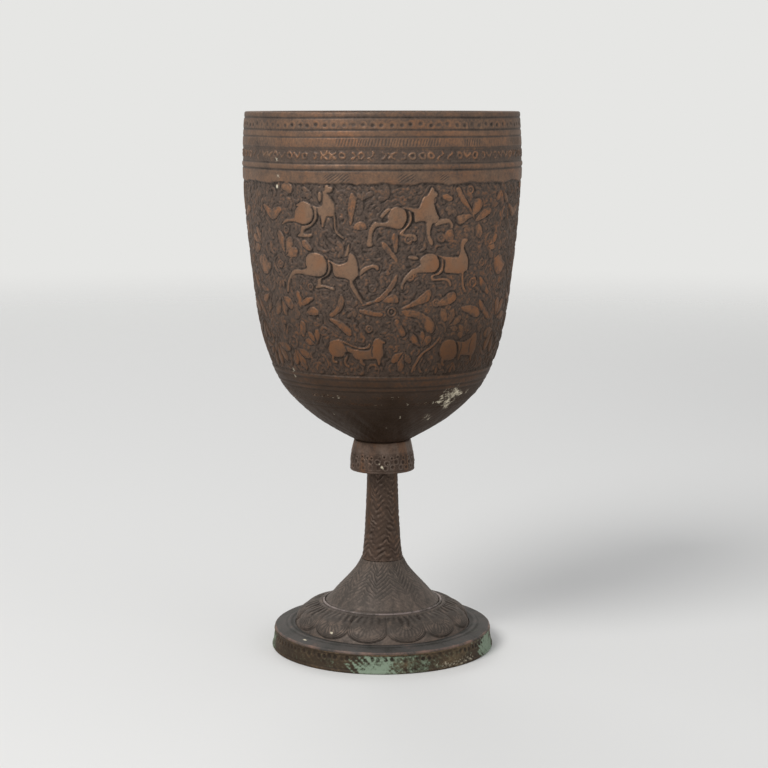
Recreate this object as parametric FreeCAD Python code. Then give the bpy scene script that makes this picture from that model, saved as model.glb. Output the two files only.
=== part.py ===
import FreeCAD, Part
import math
import os

# A footed drinking cup of bronze, in millimetres, +Z up.
# The origin is the centre of the circle that the cup stands on.
# From the ground up: a band, a flange, a ring of lotus petals, a trumpet foot,
# a hollow stem, a bell-shaped knop and a raised bowl, held by one riveted rod.

# Driving dimensions of the bowl
BOWL_HEIGHT = 108.6
BOWL_RADIUS = 45.8
BOWL_WALL = 1.3
BOWL_SEAT_RADIUS = 9.2
BOWL_LINE_DEPTH = 0.22
BOWL_LINE_WIDTH = 0.9

# Driving dimensions of the knop
KNOP_HEIGHT = 10.4
KNOP_TOP_RADIUS = 9.6
KNOP_MOUTH_RADIUS = 10.85
KNOP_WALL = 1.0
KNOP_WEB = 1.5
KNOP_BOSS_LENGTH = 3.2
KNOP_ROUND = 0.6

# Driving dimensions of the stem
STEM_LENGTH = 39.5
STEM_TOP_RADIUS = 5.1
STEM_FOOT_RADIUS = 6.95
STEM_WALL = 0.9

# Driving dimensions of the trumpet foot
CONE_RISE = 15.2
CONE_TOP_RADIUS = 7.15
CONE_BASE_RADIUS = 19.3
CONE_WALL = 1.2
NECK_LENGTH = 5.0
NECK_WEB = 1.4
NECK_WALL = 1.1

# Driving dimensions of the bead wire and the petal ring
BEAD_WIRE_RADIUS = 0.45
RING_RISE = 8.3
RING_LIP_WIDTH = 1.3
RING_FOOT_RADIUS = 29.9
RING_MOUTH_INSET = 3.0
RING_WALL = 1.3
PETAL_COUNT = 13
PETAL_RISE = 1.15
PETAL_SINK = 0.3
FLUTE_RADIUS = 0.75
FLUTE_DEPTH = 0.3
FLUTE_REACH = 7.0

# Driving dimensions of the flange and the band
FLANGE_WALL = 0.7
FLANGE_LEDGE = 4.25
FLANGE_INSET = 4.9
STEP_WIDTH = 1.4
STEP_RISE = 0.8
STEP_ROUND = 0.3
FLANGE_FALL = 0.2
BAND_HEIGHT = 5.5
BAND_FLARE = 0.95
BAND_WALL = 1.3
BAND_LIP = 0.7
BAND_PANEL_DEPTH = 0.3

# Driving dimensions of the rod and its washers
ROD_RADIUS = 1.8
ROD_HEAD_RADIUS = 3.6
ROD_HEAD_RISE = 1.5
ROD_RIVET_RADIUS = 2.7
ROD_RIVET_RISE = 1.0
BOWL_WASHER_RADIUS = 6.8
WASHER_WALL = 1.1

# Clearances
ROD_GAP = 0.1
SPIGOT_GAP = 0.06
RING_GAP = 0.9

# Depth that a cutting shape stands proud of the surface that it cuts
OVERRUN = 0.3

# Radii, from the petals outwards
STEP_INNER_RADIUS = RING_FOOT_RADIUS + RING_GAP
STEP_OUTER_RADIUS = STEP_INNER_RADIUS + STEP_WIDTH
FLANGE_RADIUS = STEP_OUTER_RADIUS + FLANGE_LEDGE
FLANGE_HOLE_RADIUS = RING_FOOT_RADIUS - FLANGE_INSET
BAND_FOOT_RADIUS = FLANGE_RADIUS + BAND_FLARE

# Levels, stacked from the ground up
FLANGE_SEAT = BAND_HEIGHT
RING_SEAT = FLANGE_SEAT + FLANGE_WALL
CONE_SEAT = RING_SEAT + RING_RISE
STEM_SEAT = CONE_SEAT + CONE_RISE
KNOP_SEAT = STEM_SEAT + STEM_LENGTH
BOWL_SEAT = KNOP_SEAT + KNOP_WEB
RIM_LEVEL = BOWL_SEAT + BOWL_HEIGHT

# Outlines as shares of the sizes that they follow: radius share, height share
BOWL_OUTLINE_SHARES = [
    (0.983, 0.994),
    (1.000, 0.871),
    (0.985, 0.705),
    (0.939, 0.512),
    (0.876, 0.337),
    (0.826, 0.263),
    (0.721, 0.171),
    (0.611, 0.118),
    (0.459, 0.065),
]
CONE_FLARE_SHARES = [(0.000, 1.000), (0.107, 0.842), (0.356, 0.592), (0.690, 0.300), (1.000, 0.000)]
RING_DOME_SHARES = [(0.000, 1.000), (0.432, 0.830), (0.800, 0.494), (1.000, 0.000)]
KNOP_BULGE_SHARE = 0.72

# Heights of the chased lines, as shares of the bowl's height
CHASED_LINE_SHARES = [0.986, 0.858, 0.836, 0.198]

# The stem's flare, as two falling powers of the height
STEM_SLOW_SHARE = 0.82
STEM_SLOW_POWER = 2.1
STEM_FAST_POWER = 12.0
STEM_STATION_SHARES = [0.0, 0.08, 0.2, 0.4, 0.7, 1.0]

# A petal's sections from lip to tip: place on the dome, half width, rise
PETAL_SECTION_SHARES = [
    (0.02, 0.52, 0.30),
    (0.25, 0.72, 0.55),
    (0.45, 0.88, 0.80),
    (0.62, 0.97, 1.00),
    (0.75, 0.90, 1.00),
    (0.84, 0.70, 0.85),
    (0.90, 0.34, 0.45),
]
FLUTE_PLACE_SHARE = 0.26
FLUTE_OFFSET_SHARES = [-0.42, 0.42]

UP = FreeCAD.Vector(0, 0, 1)
GROUND = FreeCAD.Vector(0, 0, 0)


# Points, edges and solids of revolution


def at(radius, level):
    return FreeCAD.Vector(radius, 0, level)


def line(start, end):
    return Part.makeLine(start, end)


def arc(start, middle, end):
    return Part.Arc(start, middle, end).toShape()


def curve_through(points):
    curve = Part.BSplineCurve()
    curve.interpolate(points)
    return curve


def chain(points):
    return [line(start, end) for start, end in zip(points[:-1], points[1:])]


def turn(edges):
    section = Part.Face(Part.Wire(Part.__sortEdges__(edges)))
    return section.revolve(GROUND, UP, 360)


def turn_outline(points):
    return turn(chain(points + points[:1]))


# A second curve at the wall's depth, on the left of the first one's travel
def inside_of(points, wall):
    curve = curve_through(points)
    inner = []
    for point in points:
        travel = curve.tangent(curve.parameter(point))[0]
        inner.append(point + FreeCAD.Vector(-travel.z, 0, travel.x) * wall)
    return inner


def part_way(start, end, share):
    return start + (end - start) * share


# A shape turned about the upright axis in equal steps
def around(shape, count):
    copies = []
    for index in range(count):
        copy = shape.copy()
        copy.rotate(GROUND, UP, 360 * (index + 0.5) / count)
        copies.append(copy)
    return copies


# The bowl: raised from one sheet, with a rounded rim and chased lines


def bowl_points():
    points = []
    for radius_share, height_share in BOWL_OUTLINE_SHARES:
        points.append(at(BOWL_RADIUS * radius_share, BOWL_SEAT + BOWL_HEIGHT * height_share))
    return points + [at(BOWL_SEAT_RADIUS, BOWL_SEAT)]


def chased_line(outline, level):
    reach = line(at(0, level), at(BOWL_RADIUS * 2, level))
    surface = outline.toShape().distToShape(reach)[1][0][0].x
    return turn_outline([
        at(surface - BOWL_LINE_DEPTH, level),
        at(surface + OVERRUN, level - BOWL_LINE_WIDTH),
        at(surface + OVERRUN, level + BOWL_LINE_WIDTH),
    ])


def bowl():
    outer = bowl_points()
    outline = curve_through(outer)
    inner = inside_of(outer, -BOWL_WALL)
    inner[-1] = at(BOWL_SEAT_RADIUS, BOWL_SEAT + BOWL_WALL)
    crest = part_way(outer[0], inner[0], 0.5)
    crest.z = RIM_LEVEL
    hole = ROD_RADIUS + ROD_GAP
    edges = [outline.toShape(), curve_through(inner).toShape(), arc(inner[0], crest, outer[0])]
    edges += chain([outer[-1], at(hole, BOWL_SEAT), at(hole, BOWL_SEAT + BOWL_WALL), inner[-1]])
    body = turn(edges)
    for share in CHASED_LINE_SHARES:
        body = body.cut(chased_line(outline, BOWL_SEAT + BOWL_HEIGHT * share))
    return body


# The washer inside the bowl, and the rod riveted through bowl, knop, stem and foot


def washer(seat, radius, wall):
    disc = Part.makeCylinder(radius, wall, at(0, seat), UP)
    return disc.cut(Part.makeCylinder(ROD_RADIUS + ROD_GAP, wall, at(0, seat), UP))


def neck_ceiling():
    return STEM_SEAT + NECK_LENGTH - NECK_WEB


def cap(edge_radius, edge_level, crest_level):
    rise = crest_level - edge_level
    sphere_radius = (edge_radius ** 2 + rise ** 2) / (2 * abs(rise))
    half_angle = math.asin(edge_radius / sphere_radius) / 2
    drop = sphere_radius * (1 - math.cos(half_angle))
    middle_level = crest_level - math.copysign(drop, rise)
    middle = at(sphere_radius * math.sin(half_angle), middle_level)
    return arc(at(edge_radius, edge_level), middle, at(0, crest_level))


def tie_rod():
    top = BOWL_SEAT + BOWL_WALL + WASHER_WALL
    foot = neck_ceiling() - WASHER_WALL
    edges = [cap(ROD_HEAD_RADIUS, top, top + ROD_HEAD_RISE)]
    edges += [cap(ROD_RIVET_RADIUS, foot, foot - ROD_RIVET_RISE)]
    edges += chain([at(ROD_HEAD_RADIUS, top), at(ROD_RADIUS, top), at(ROD_RADIUS, foot), at(ROD_RIVET_RADIUS, foot)])
    edges.append(line(at(0, foot - ROD_RIVET_RISE), at(0, top + ROD_HEAD_RISE)))
    return turn(edges)


# The knop: a hollow bell, open below, with a boss that centres the stem


def knop():
    mouth_level = BOWL_SEAT - KNOP_HEIGHT
    bulge = part_way(KNOP_TOP_RADIUS, KNOP_MOUTH_RADIUS, KNOP_BULGE_SHARE)
    middle_level = part_way(mouth_level, BOWL_SEAT - KNOP_ROUND, 0.5)
    boss_radius = STEM_TOP_RADIUS - STEM_WALL - SPIGOT_GAP
    boss_level = KNOP_SEAT - KNOP_BOSS_LENGTH
    hole = ROD_RADIUS + ROD_GAP
    shoulder = at(KNOP_TOP_RADIUS, BOWL_SEAT - KNOP_ROUND)
    outer_mouth = at(KNOP_MOUTH_RADIUS, mouth_level)
    inner_mouth = at(KNOP_MOUTH_RADIUS - KNOP_WALL, mouth_level)
    inner_top = at(KNOP_TOP_RADIUS - KNOP_WALL, KNOP_SEAT)
    outside = arc(shoulder, at(bulge, middle_level), outer_mouth)
    inside = arc(inner_mouth, at(bulge - KNOP_WALL, middle_level), inner_top)
    edges = [outside, line(outer_mouth, inner_mouth), inside]
    edges += chain([
        inner_top,
        at(boss_radius, KNOP_SEAT),
        at(boss_radius, boss_level),
        at(hole, boss_level),
        at(hole, BOWL_SEAT),
        at(KNOP_TOP_RADIUS - KNOP_ROUND, BOWL_SEAT),
        shoulder,
    ])
    return turn(edges)


# The stem: a hollow tube that flares towards the foot


def stem_radius(height_share):
    slow = STEM_SLOW_SHARE * (1 - height_share) ** STEM_SLOW_POWER
    fast = (1 - STEM_SLOW_SHARE) * (1 - height_share) ** STEM_FAST_POWER
    return STEM_TOP_RADIUS + (STEM_FOOT_RADIUS - STEM_TOP_RADIUS) * (slow + fast)


def stem():
    outer = []
    inner = []
    for share in STEM_STATION_SHARES:
        level = STEM_SEAT + STEM_LENGTH * share
        outer.append(at(stem_radius(share), level))
        inner.append(at(stem_radius(share) - STEM_WALL, level))
    edges = [curve_through(outer).toShape(), curve_through(inner).toShape()]
    edges += [line(outer[0], inner[0]), line(outer[-1], inner[-1])]
    return turn(edges)


# The trumpet foot: a flared cone whose neck is a spigot inside the stem


def spigot_radius(height):
    return stem_radius(height / STEM_LENGTH) - STEM_WALL - SPIGOT_GAP


def foot_cone():
    outer = []
    for flare_share, height_share in CONE_FLARE_SHARES:
        radius = part_way(CONE_TOP_RADIUS, CONE_BASE_RADIUS, flare_share)
        outer.append(at(radius, CONE_SEAT + CONE_RISE * height_share))
    inner = inside_of(outer, -CONE_WALL)
    inner[-1] = at(inner[-1].x, CONE_SEAT)
    tip = STEM_SEAT + NECK_LENGTH
    bore = spigot_radius(NECK_LENGTH) - NECK_WALL
    hole = ROD_RADIUS + ROD_GAP
    edges = [curve_through(outer).toShape(), curve_through(inner).toShape(), line(outer[-1], inner[-1])]
    edges += chain([
        outer[0],
        at(spigot_radius(0), STEM_SEAT),
        at(spigot_radius(NECK_LENGTH / 2), STEM_SEAT + NECK_LENGTH / 2),
        at(spigot_radius(NECK_LENGTH), tip),
        at(hole, tip),
        at(hole, neck_ceiling()),
        at(bore, neck_ceiling()),
        at(bore, STEM_SEAT),
        inner[0],
    ])
    return turn(edges)


def neck_washer():
    radius = spigot_radius(NECK_LENGTH) - NECK_WALL - ROD_GAP
    return washer(neck_ceiling() - WASHER_WALL, radius, WASHER_WALL)


# The bead wire in the corner between trumpet and petal ring


def bead_centre_radius():
    return CONE_BASE_RADIUS + SPIGOT_GAP + BEAD_WIRE_RADIUS


def bead_wire():
    return Part.makeTorus(bead_centre_radius(), BEAD_WIRE_RADIUS, at(0, CONE_SEAT + BEAD_WIRE_RADIUS), UP)


# The petal ring: a domed ring with lotus petals, each a loft along the dome


def lip_radius():
    return CONE_BASE_RADIUS + RING_LIP_WIDTH


def dome_points():
    points = []
    for spread_share, height_share in RING_DOME_SHARES:
        radius = part_way(lip_radius(), RING_FOOT_RADIUS, spread_share)
        points.append(at(radius, RING_SEAT + RING_RISE * height_share))
    return points


def dome_frame(dome, share):
    place = dome.FirstParameter + (dome.LastParameter - dome.FirstParameter) * share
    point = dome.value(place)
    travel = dome.tangent(place)[0]
    outward = FreeCAD.Vector(-travel.z, 0, travel.x)
    return point, travel, outward


def half_pitch(radius):
    return radius * math.tan(math.pi / PETAL_COUNT)


def petal_section(dome, place_share, width_share, rise_share):
    point, travel, outward = dome_frame(dome, place_share)
    half_width = half_pitch(point.x) * width_share
    sag = half_width ** 2 * outward.x / (2 * point.x)
    base = point - outward * (sag + PETAL_SINK)
    side = FreeCAD.Vector(0, half_width, 0)
    crest = point + outward * (PETAL_RISE * rise_share)
    bow = arc(base - side, crest, base + side)
    return Part.Wire([bow, line(base + side, base - side)])


def flute(dome, offset_share):
    point, travel, outward = dome_frame(dome, FLUTE_PLACE_SHARE)
    side = FreeCAD.Vector(0, half_pitch(point.x) * offset_share, 0)
    lift = PETAL_RISE * FLUTE_PLACE_SHARE * 2 + FLUTE_RADIUS - FLUTE_DEPTH
    centre = point + side + outward * lift
    return Part.makeCylinder(FLUTE_RADIUS, FLUTE_REACH, centre - travel * (FLUTE_REACH / 2), travel)


def petal(dome):
    sections = [petal_section(dome, *shares) for shares in PETAL_SECTION_SHARES]
    body = Part.makeLoft(sections, True, False)
    for offset_share in FLUTE_OFFSET_SHARES:
        body = body.cut(flute(dome, offset_share))
    return body


def petal_ring():
    outer = dome_points()
    inner = inside_of(outer, -RING_WALL)
    inner[0] = at(outer[0].x, outer[0].z - RING_WALL)
    inner[-1] = at(inner[-1].x, RING_SEAT)
    mouth = CONE_BASE_RADIUS - RING_MOUTH_INSET
    edges = [curve_through(outer).toShape(), curve_through(inner).toShape(), line(outer[-1], inner[-1])]
    edges += chain([outer[0], at(mouth, outer[0].z), at(mouth, inner[0].z), inner[0]])
    body = turn(edges)
    petals = around(petal(curve_through(outer)), PETAL_COUNT)
    return body.multiFuse(petals).removeSplitter()


# The flange: a flat ring with a raised step round the petals


def foot_flange():
    step_level = RING_SEAT + STEP_RISE
    return turn_outline([
        at(FLANGE_HOLE_RADIUS, FLANGE_SEAT),
        at(FLANGE_RADIUS, FLANGE_SEAT),
        at(FLANGE_RADIUS, RING_SEAT - FLANGE_FALL),
        at(FLANGE_RADIUS - FLANGE_FALL, RING_SEAT),
        at(STEP_OUTER_RADIUS + STEP_ROUND, RING_SEAT + FLANGE_FALL),
        at(STEP_OUTER_RADIUS, step_level - STEP_ROUND),
        at(STEP_OUTER_RADIUS - STEP_ROUND, step_level),
        at(STEP_INNER_RADIUS + STEP_ROUND, step_level),
        at(STEP_INNER_RADIUS, step_level - STEP_ROUND),
        at(STEP_INNER_RADIUS, RING_SEAT),
        at(FLANGE_HOLE_RADIUS, RING_SEAT),
    ])


# The band: a strip on edge with a lip along its top and its foot


def foot_band():
    top_radius = FLANGE_RADIUS + FLANGE_FALL
    return turn_outline([
        at(BAND_FOOT_RADIUS - BAND_WALL, 0),
        at(BAND_FOOT_RADIUS, 0),
        at(BAND_FOOT_RADIUS, BAND_LIP),
        at(BAND_FOOT_RADIUS - BAND_PANEL_DEPTH, BAND_LIP + BAND_PANEL_DEPTH),
        at(top_radius - BAND_PANEL_DEPTH, BAND_HEIGHT - BAND_LIP - BAND_PANEL_DEPTH),
        at(top_radius, BAND_HEIGHT - BAND_LIP),
        at(top_radius, BAND_HEIGHT),
        at(top_radius - BAND_WALL, BAND_HEIGHT),
    ])


def write(node, shape):
    shape.exportStep("parts/" + node + ".step")


os.makedirs("parts", exist_ok=True)
write("bowl", bowl())
write("bowl_washer", washer(BOWL_SEAT + BOWL_WALL, BOWL_WASHER_RADIUS, WASHER_WALL))
write("tie_rod", tie_rod())
write("knop", knop())
write("stem", stem())
write("foot_cone", foot_cone())
write("neck_washer", neck_washer())
write("bead_wire", bead_wire())
write("petal_ring", petal_ring())
write("foot_flange", foot_flange())
write("foot_band", foot_band())
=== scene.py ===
"""Looks of a footed bronze cup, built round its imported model."""

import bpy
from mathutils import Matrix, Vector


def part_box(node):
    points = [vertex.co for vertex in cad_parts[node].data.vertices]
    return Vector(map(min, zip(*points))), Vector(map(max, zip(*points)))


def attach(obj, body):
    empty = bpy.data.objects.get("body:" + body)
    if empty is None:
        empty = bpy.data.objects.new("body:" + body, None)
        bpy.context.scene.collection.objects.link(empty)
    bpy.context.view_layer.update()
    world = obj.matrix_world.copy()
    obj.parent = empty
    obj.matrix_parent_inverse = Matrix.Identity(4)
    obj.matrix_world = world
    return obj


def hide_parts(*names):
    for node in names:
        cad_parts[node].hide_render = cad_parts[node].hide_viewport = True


bl_info = {
    "name": "Chased Bronze Goblet",
    "version": (1, 0, 0),
    "blender": (4, 5, 0),
    "location": "View3D > Sidebar > Goblet",
    "description": "Chased bowl, knop, engraved stem and lotus foot of a bronze goblet",
    "category": "Object",
}

import math

import bpy
import numpy as np
from bpy.props import FloatProperty, FloatVectorProperty, IntProperty, PointerProperty

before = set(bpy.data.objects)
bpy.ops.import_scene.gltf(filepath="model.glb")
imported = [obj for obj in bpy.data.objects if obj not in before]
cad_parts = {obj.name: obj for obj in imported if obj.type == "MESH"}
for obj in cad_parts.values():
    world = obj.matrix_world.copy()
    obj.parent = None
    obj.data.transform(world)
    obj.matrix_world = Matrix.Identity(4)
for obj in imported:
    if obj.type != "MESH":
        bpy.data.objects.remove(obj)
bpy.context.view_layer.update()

MM = 0.001
TAU = 2.0 * math.pi


def box_mm(node):
    """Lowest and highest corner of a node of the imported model, in millimetres."""
    low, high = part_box(node)
    return np.array(low) / MM, np.array(high) / MM


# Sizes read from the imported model, in millimetres

BOWL_LOW, BOWL_HIGH = box_mm("bowl")
KNOP_HIGH = box_mm("knop")[1]
STEM_LOW, STEM_HIGH = box_mm("stem")
CONE_LOW, CONE_HIGH = box_mm("foot_cone")
BEAD_LOW, BEAD_HIGH = box_mm("bead_wire")
RING_LOW = box_mm("petal_ring")[0]
FLANGE_LOW, FLANGE_HIGH = box_mm("foot_flange")
BAND_HIGH = box_mm("foot_band")[1]

RIM = BOWL_HIGH[2]
SEAT = BOWL_LOW[2]
BOWL_HEIGHT = RIM - SEAT
BOWL_RADIUS = BOWL_HIGH[0]
BOWL_WALL = 1.3
ROD_HOLE = 1.9
KNOP_HEIGHT = 10.4
KNOP_TOP_RADIUS = 9.6
KNOP_WALL = 1.0
KNOP_WEB = 1.5
STEM_TOP_RADIUS = 5.1
CONE_TOP_RADIUS = 7.15
RING_RISE = 8.3
RING_LIP_WIDTH = 1.3
RING_FOOT_RADIUS = 29.9
# The photograph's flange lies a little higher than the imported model's, and so does the top of the band
SHOWN_LIFT = 0.65

# The worked outside of the bowl has a hidden back this share of the wall behind it
HIDDEN_SHARE = 0.62
# Most triangles in one band of the bowl, and the base's columns and cells as shares of the frieze's
BAND_TRIANGLES = 160000
BASE_COLUMNS_SHARE = 0.58
BASE_CELL_SHARE = 1.25
# Columns round the bead wire, and sides of its section
BEAD_GRID = (720, 14)
# Columns round the cup, and cell along the section in millimetres, of the other pieces
LINING_GRID = (384, 0.6)
KNOP_GRID = (560, 0.16)
STEM_GRID = (300, 0.17)
CONE_GRID = (600, 0.2)
PETAL_GRID = (840, 0.18)
FLANGE_GRID = (720, 0.17)
BAND_GRID = (960, 0.17)

# The bowl's outline as shares of its radius and height, from the rim down
BOWL_OUTLINE_SHARES = np.array([
    (0.983, 0.994), (1.000, 0.871), (0.985, 0.705), (0.939, 0.512), (0.876, 0.337),
    (0.826, 0.263), (0.721, 0.171), (0.611, 0.118), (0.459, 0.065), (0.201, 0.000),
])
CONE_FLARE_SHARES = np.array([(0.0, 1.0), (0.107, 0.842), (0.356, 0.592), (0.69, 0.3), (1.0, 0.0)])
RING_DOME_SHARES = np.array([(0.0, 1.0), (0.432, 0.83), (0.8, 0.494), (1.0, 0.0)])

# A petal's place down the dome and its rise, as shares; where its round tip starts, and how long the tip is
PETAL_RISE_SHARES = np.array([
    (0.0, 0.10), (0.06, 0.35), (0.25, 0.55), (0.45, 0.85), (0.64, 1.0), (0.78, 0.72), (0.9, 0.40),
])
TIP_START, TIP_LENGTH = 0.57, 0.30

# Heights of the bowl's zones, measured down from the rim in millimetres
FRIEZE_TOP_DEPTH = 21.5
FRIEZE_FOOT_DEPTH = 83.0
# Places round every piece are lengths of arc at this radius
ARC_RADIUS = 45.0
AROUND = TAU * ARC_RADIUS

# Chased lines under the lip: depth, half width, strength
LIP_LINES = [
    (1.7, 0.24, 0.9), (5.35, 0.24, 0.9), (7.5, 0.24, 0.8), (10.75, 0.26, 0.6), (15.45, 0.28, 1.0),
    (17.55, 0.30, 1.0),
]
# Punched dots and raised motifs round the lip, and the steps of its two hatchings in millimetres
DOT_COUNT = 95
MOTIF_COUNT = 92
HATCH_STEP = 0.952
SLANT_STEP = 1.31
# Spans of the side in the photograph with upright and with slanted hatching, in millimetres from the front
HATCHED = [(-14.0, 18.0), (27.0, 33.0)]
SLANTED = [(-18.0, -10.0), (5.0, 10.0), (18.0, 20.5)]
# Chased lines: depth under the rim and strength, level over the knop's mouth and strength
BASE_LINES = [(84.2, 0.8), (86.6, 1.0), (88.1, 0.8), (94.1, 0.6)]
KNOP_LINES = [(0.85, 1.0), (6.5, 0.4)]
# Rows of small punches under the frieze: depth, count, radius, seed
BASE_PUNCHES = [(90.0, 128, 0.5, 63), (92.4, 150, 0.4, 64)]
# Rows of punches on the knop: height over its mouth, count, radius, seed
KNOP_PUNCHES = [(2.1, 26, 0.82, 83), (3.8, 23, 0.94, 84), (5.3, 30, 0.60, 85)]
# Pale spots, dried deposit except the knop's first, which is a painted highlight: place from the front,
# second place, size, strength. The second place is the height over the frieze's foot, depth below the
# rim, height over the knop's mouth, share down the dome, or radius
BOWL_CHALK = [
    (-36.5, 68.3, 0.9, 0.66), (-35.6, 63.2, 1.2, 0.60), (-36.5, 59.8, 0.8, 0.95), (-40.0, 0.6, 0.9, 0.8),
]
BASE_CHALK = [
    (29.5, 89.6, 2.2, 0.62), (35.0, 89.0, 3.2, 0.66), (39.0, 90.4, 2.0, 0.52), (33.0, 92.6, 2.8, 0.70),
    (36.5, 94.4, 2.2, 0.62), (28.0, 91.6, 1.6, 0.50), (26.0, 97.8, 2.6, 0.60), (30.0, 99.0, 1.8, 0.56),
    (44.0, 89.8, 1.2, 0.56), (10.0, 97.2, 1.0, 0.7), (3.0, 101.6, 0.9, 0.66), (-28.0, 97.0, 1.0, 0.6),
    (-40.0, 84.3, 0.8, 0.7),
]
# The first, strongest spot is a painted highlight on the knop's front; the others are small pale spots
KNOP_HIGHLIGHT_AND_CHALK = [
    (-0.241, 2.5, 0.5, 1.0), (-1.013, 3.4, 0.6, 0.62), (0.362, 1.9, 0.45, 0.6), (1.808, 3.1, 0.4, 0.5),
]
PETAL_CHALK = [(-27.5, 0.72, 1.2, 1.0)]
FLANGE_CHALK = [(-38.0, 34.0, 1.5, 1.0)]
# Verdigris on the band: from and to in degrees from the front, lowest and highest level, strength
BAND_VERDIGRIS = [
    (-15, 8, 0.0, 3.2, 0.98), (-13, 10, 2.8, 5.8, 0.80), (8, 22, 0.0, 5.8, 0.56),
    (20, 50, 0.5, 5.0, 0.34), (60, 82, 0.0, 6.3, 0.95), (74, 108, 0.0, 4.6, 0.50),
    (-100, -77, 0.0, 6.3, 0.66), (-62, -20, 1.0, 5.2, 0.28),
]

# Values that every surface carries, plain unless a piece gives its own. Three are kept from 0 to a ceiling
PLAIN_VALUES = {"relief": 0.5, "copper": 0.5, "grime": 0.0, "verdigris": 0.0, "chalk": 0.0}
VALUE_CEILINGS = {"relief": 1.2, "copper": 1.0, "grime": 1.0}
# Settings of the node that mixes two colours, which are its sockets 6 and 7
COLOUR_MIX = {"out": 2, "data_type": "RGBA"}
# A distance past every shape, in millimetres, and the rows after which scattered punch marks come again
FAR = 9.0
PUNCH_ROWS = 97

# The stage: lamps (name, place in metres, diameter in metres, power in watts), room light, floor and camera
LAMPS = [
    ("key", (-0.62, -0.70, 0.95), 0.6, 10.0),
    ("fill", (0.9, -0.6, 0.5), 0.8, 1.2),
    ("rim", (-0.2, 0.9, 0.8), 0.6, 2.0),
]
LAMPS_AIM = (0.0, 0.0, 0.1)
WORLD_LIGHT = 0.56
FLOOR_RADII = (1.7, 0.6, 0.2, 0.02)
FLOOR_SIDES = 96
FLOOR_DROP = 0.0001
CAMERA_PLACE = (0.00057, -0.6264, 0.1826)
CAMERA_TILT = 8.5
CAMERA_LENS = 88.78


# Colours


def hex_linear(code):
    """Linear red, green, blue and alpha of an sRGB hex code."""
    channels = [int(code[i:i + 2], 16) / 255.0 for i in (1, 3, 5)]
    linear = [c / 12.92 if c <= 0.04045 else ((c + 0.055) / 1.055) ** 2.4 for c in channels]
    return (*linear, 1.0)


# Curves and noise worked out as whole arrays


def ramp(value, low, high):
    """Zero below low, one above high, and a smooth cubic step between."""
    t = np.clip((value - low) / (high - low), 0.0, 1.0)
    return t * t * (3.0 - 2.0 * t)


def between(value, start, full, fading, end):
    """One from full to fading, and a smooth step down to nothing at start and at end."""
    return ramp(value, start, full) * ramp(-value, -end, -fading)


def bump_at(value, centre, half_width):
    """One at the centre, falling to nothing at about twice the half width, as a bell curve."""
    return np.exp(-((value - centre) / half_width) ** 2)


def mixed(share, one, other):
    """One of two values where the share is one, the other where it is nothing, and a mean between."""
    return share * one + (1.0 - share) * other


def grooves(value, lines, half_width):
    """The sum of bell-shaped lines, given by place and strength."""
    return sum(strength * bump_at(value, place, half_width) for place, strength in lines)


def spots(table, across, up, tall=None):
    """The sum of bell-shaped spots, given by place across, place up, size and strength.

    They are round, or all as tall as is said.
    """
    return sum(
        strength * np.exp(-((across - x) / size) ** 2 - ((up - y) / (tall or size)) ** 2)
        for x, y, size, strength in table
    )


def around(columns):
    """Places of the columns: lengths of arc from the front, above zero on the photograph's right."""
    across = np.arange(columns) * AROUND / columns
    return np.where(across > AROUND / 2, across - AROUND, across)[None, :]


def lengths(curve):
    """Length along a curve up to each of its points."""
    return np.r_[0.0, np.cumsum(np.hypot(*np.diff(curve, axis=0).T))]


def spline(points, count):
    """A natural cubic spline through points, by chord length, at count even places."""
    points = np.asarray(points, float)
    chord = lengths(points)
    gap = np.diff(chord)
    size = len(points)
    matrix = np.eye(size)
    right = np.zeros_like(points)
    for row in range(1, size - 1):
        matrix[row, row - 1:row + 2] = gap[row - 1], 2 * (gap[row - 1] + gap[row]), gap[row]
        rise = np.diff(points[row - 1:row + 2], axis=0)
        right[row] = 6 * (rise[1] / gap[row] - rise[0] / gap[row - 1])
    bend = np.linalg.solve(matrix, right)
    places = np.linspace(0.0, chord[-1], count)
    span = np.clip(np.searchsorted(chord, places, side="right") - 1, 0, size - 2)
    h = gap[span][:, None]
    a = ((chord[span + 1] - places)[:, None]) / h
    b = 1.0 - a
    curve = a * points[span] + b * points[span + 1]
    return curve + ((a ** 3 - a) * bend[span] + (b ** 3 - b) * bend[span + 1]) * h * h / 6.0


def even(curve, step):
    """The same curve at even steps along its length."""
    along = lengths(curve)
    places = np.linspace(0.0, along[-1], max(2, int(round(along[-1] / step)) + 1))
    return np.c_[np.interp(places, along, curve[:, 0]), np.interp(places, along, curve[:, 1])]


def arc(centre, radius, start, end, count):
    """Points of a round from one angle to another, as radius and height."""
    turn = np.linspace(start, end, count)[:, None]
    return np.asarray(centre) + radius * np.c_[np.cos(turn), np.sin(turn)]


def side_of(curve, closed=False):
    """Unit normals on the right of a curve's travel in the plane of radius and height."""
    if closed:
        travel = np.roll(curve, -1, axis=0) - np.roll(curve, 1, axis=0)
    else:
        travel = np.gradient(curve, axis=0)
    travel = travel / np.linalg.norm(travel, axis=1)[:, None]
    return np.c_[travel[:, 1], -travel[:, 0]]


def ripple(seed, across, up, wave, octaves=4):
    """Soft noise from about minus one to one: a seeded sum of waves that closes round the cup."""
    draw = np.random.default_rng(seed)
    total = np.zeros(np.broadcast(across, up).shape)
    weight = 0.0
    for octave in range(octaves):
        share = 0.62 ** octave
        for _ in range(3):
            length = wave / (1.8 ** octave) * draw.uniform(0.7, 1.4)
            turns = round(AROUND / length * math.cos(draw.uniform(0.0, math.pi)))
            rise = TAU / length * draw.uniform(-1.0, 1.0)
            total += share * np.sin(TAU * turns * across / AROUND + rise * up + draw.uniform(0, TAU))
        weight += 3 * share
    return total / weight * 1.9


def worn_at(seed, across, wave, octaves, low, high):
    """Seeded patches round the cup, from nothing to one, the same at every height."""
    return ramp(ripple(seed, across, 0.0, wave, octaves), low, high)


# Meshes from grids of points


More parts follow.
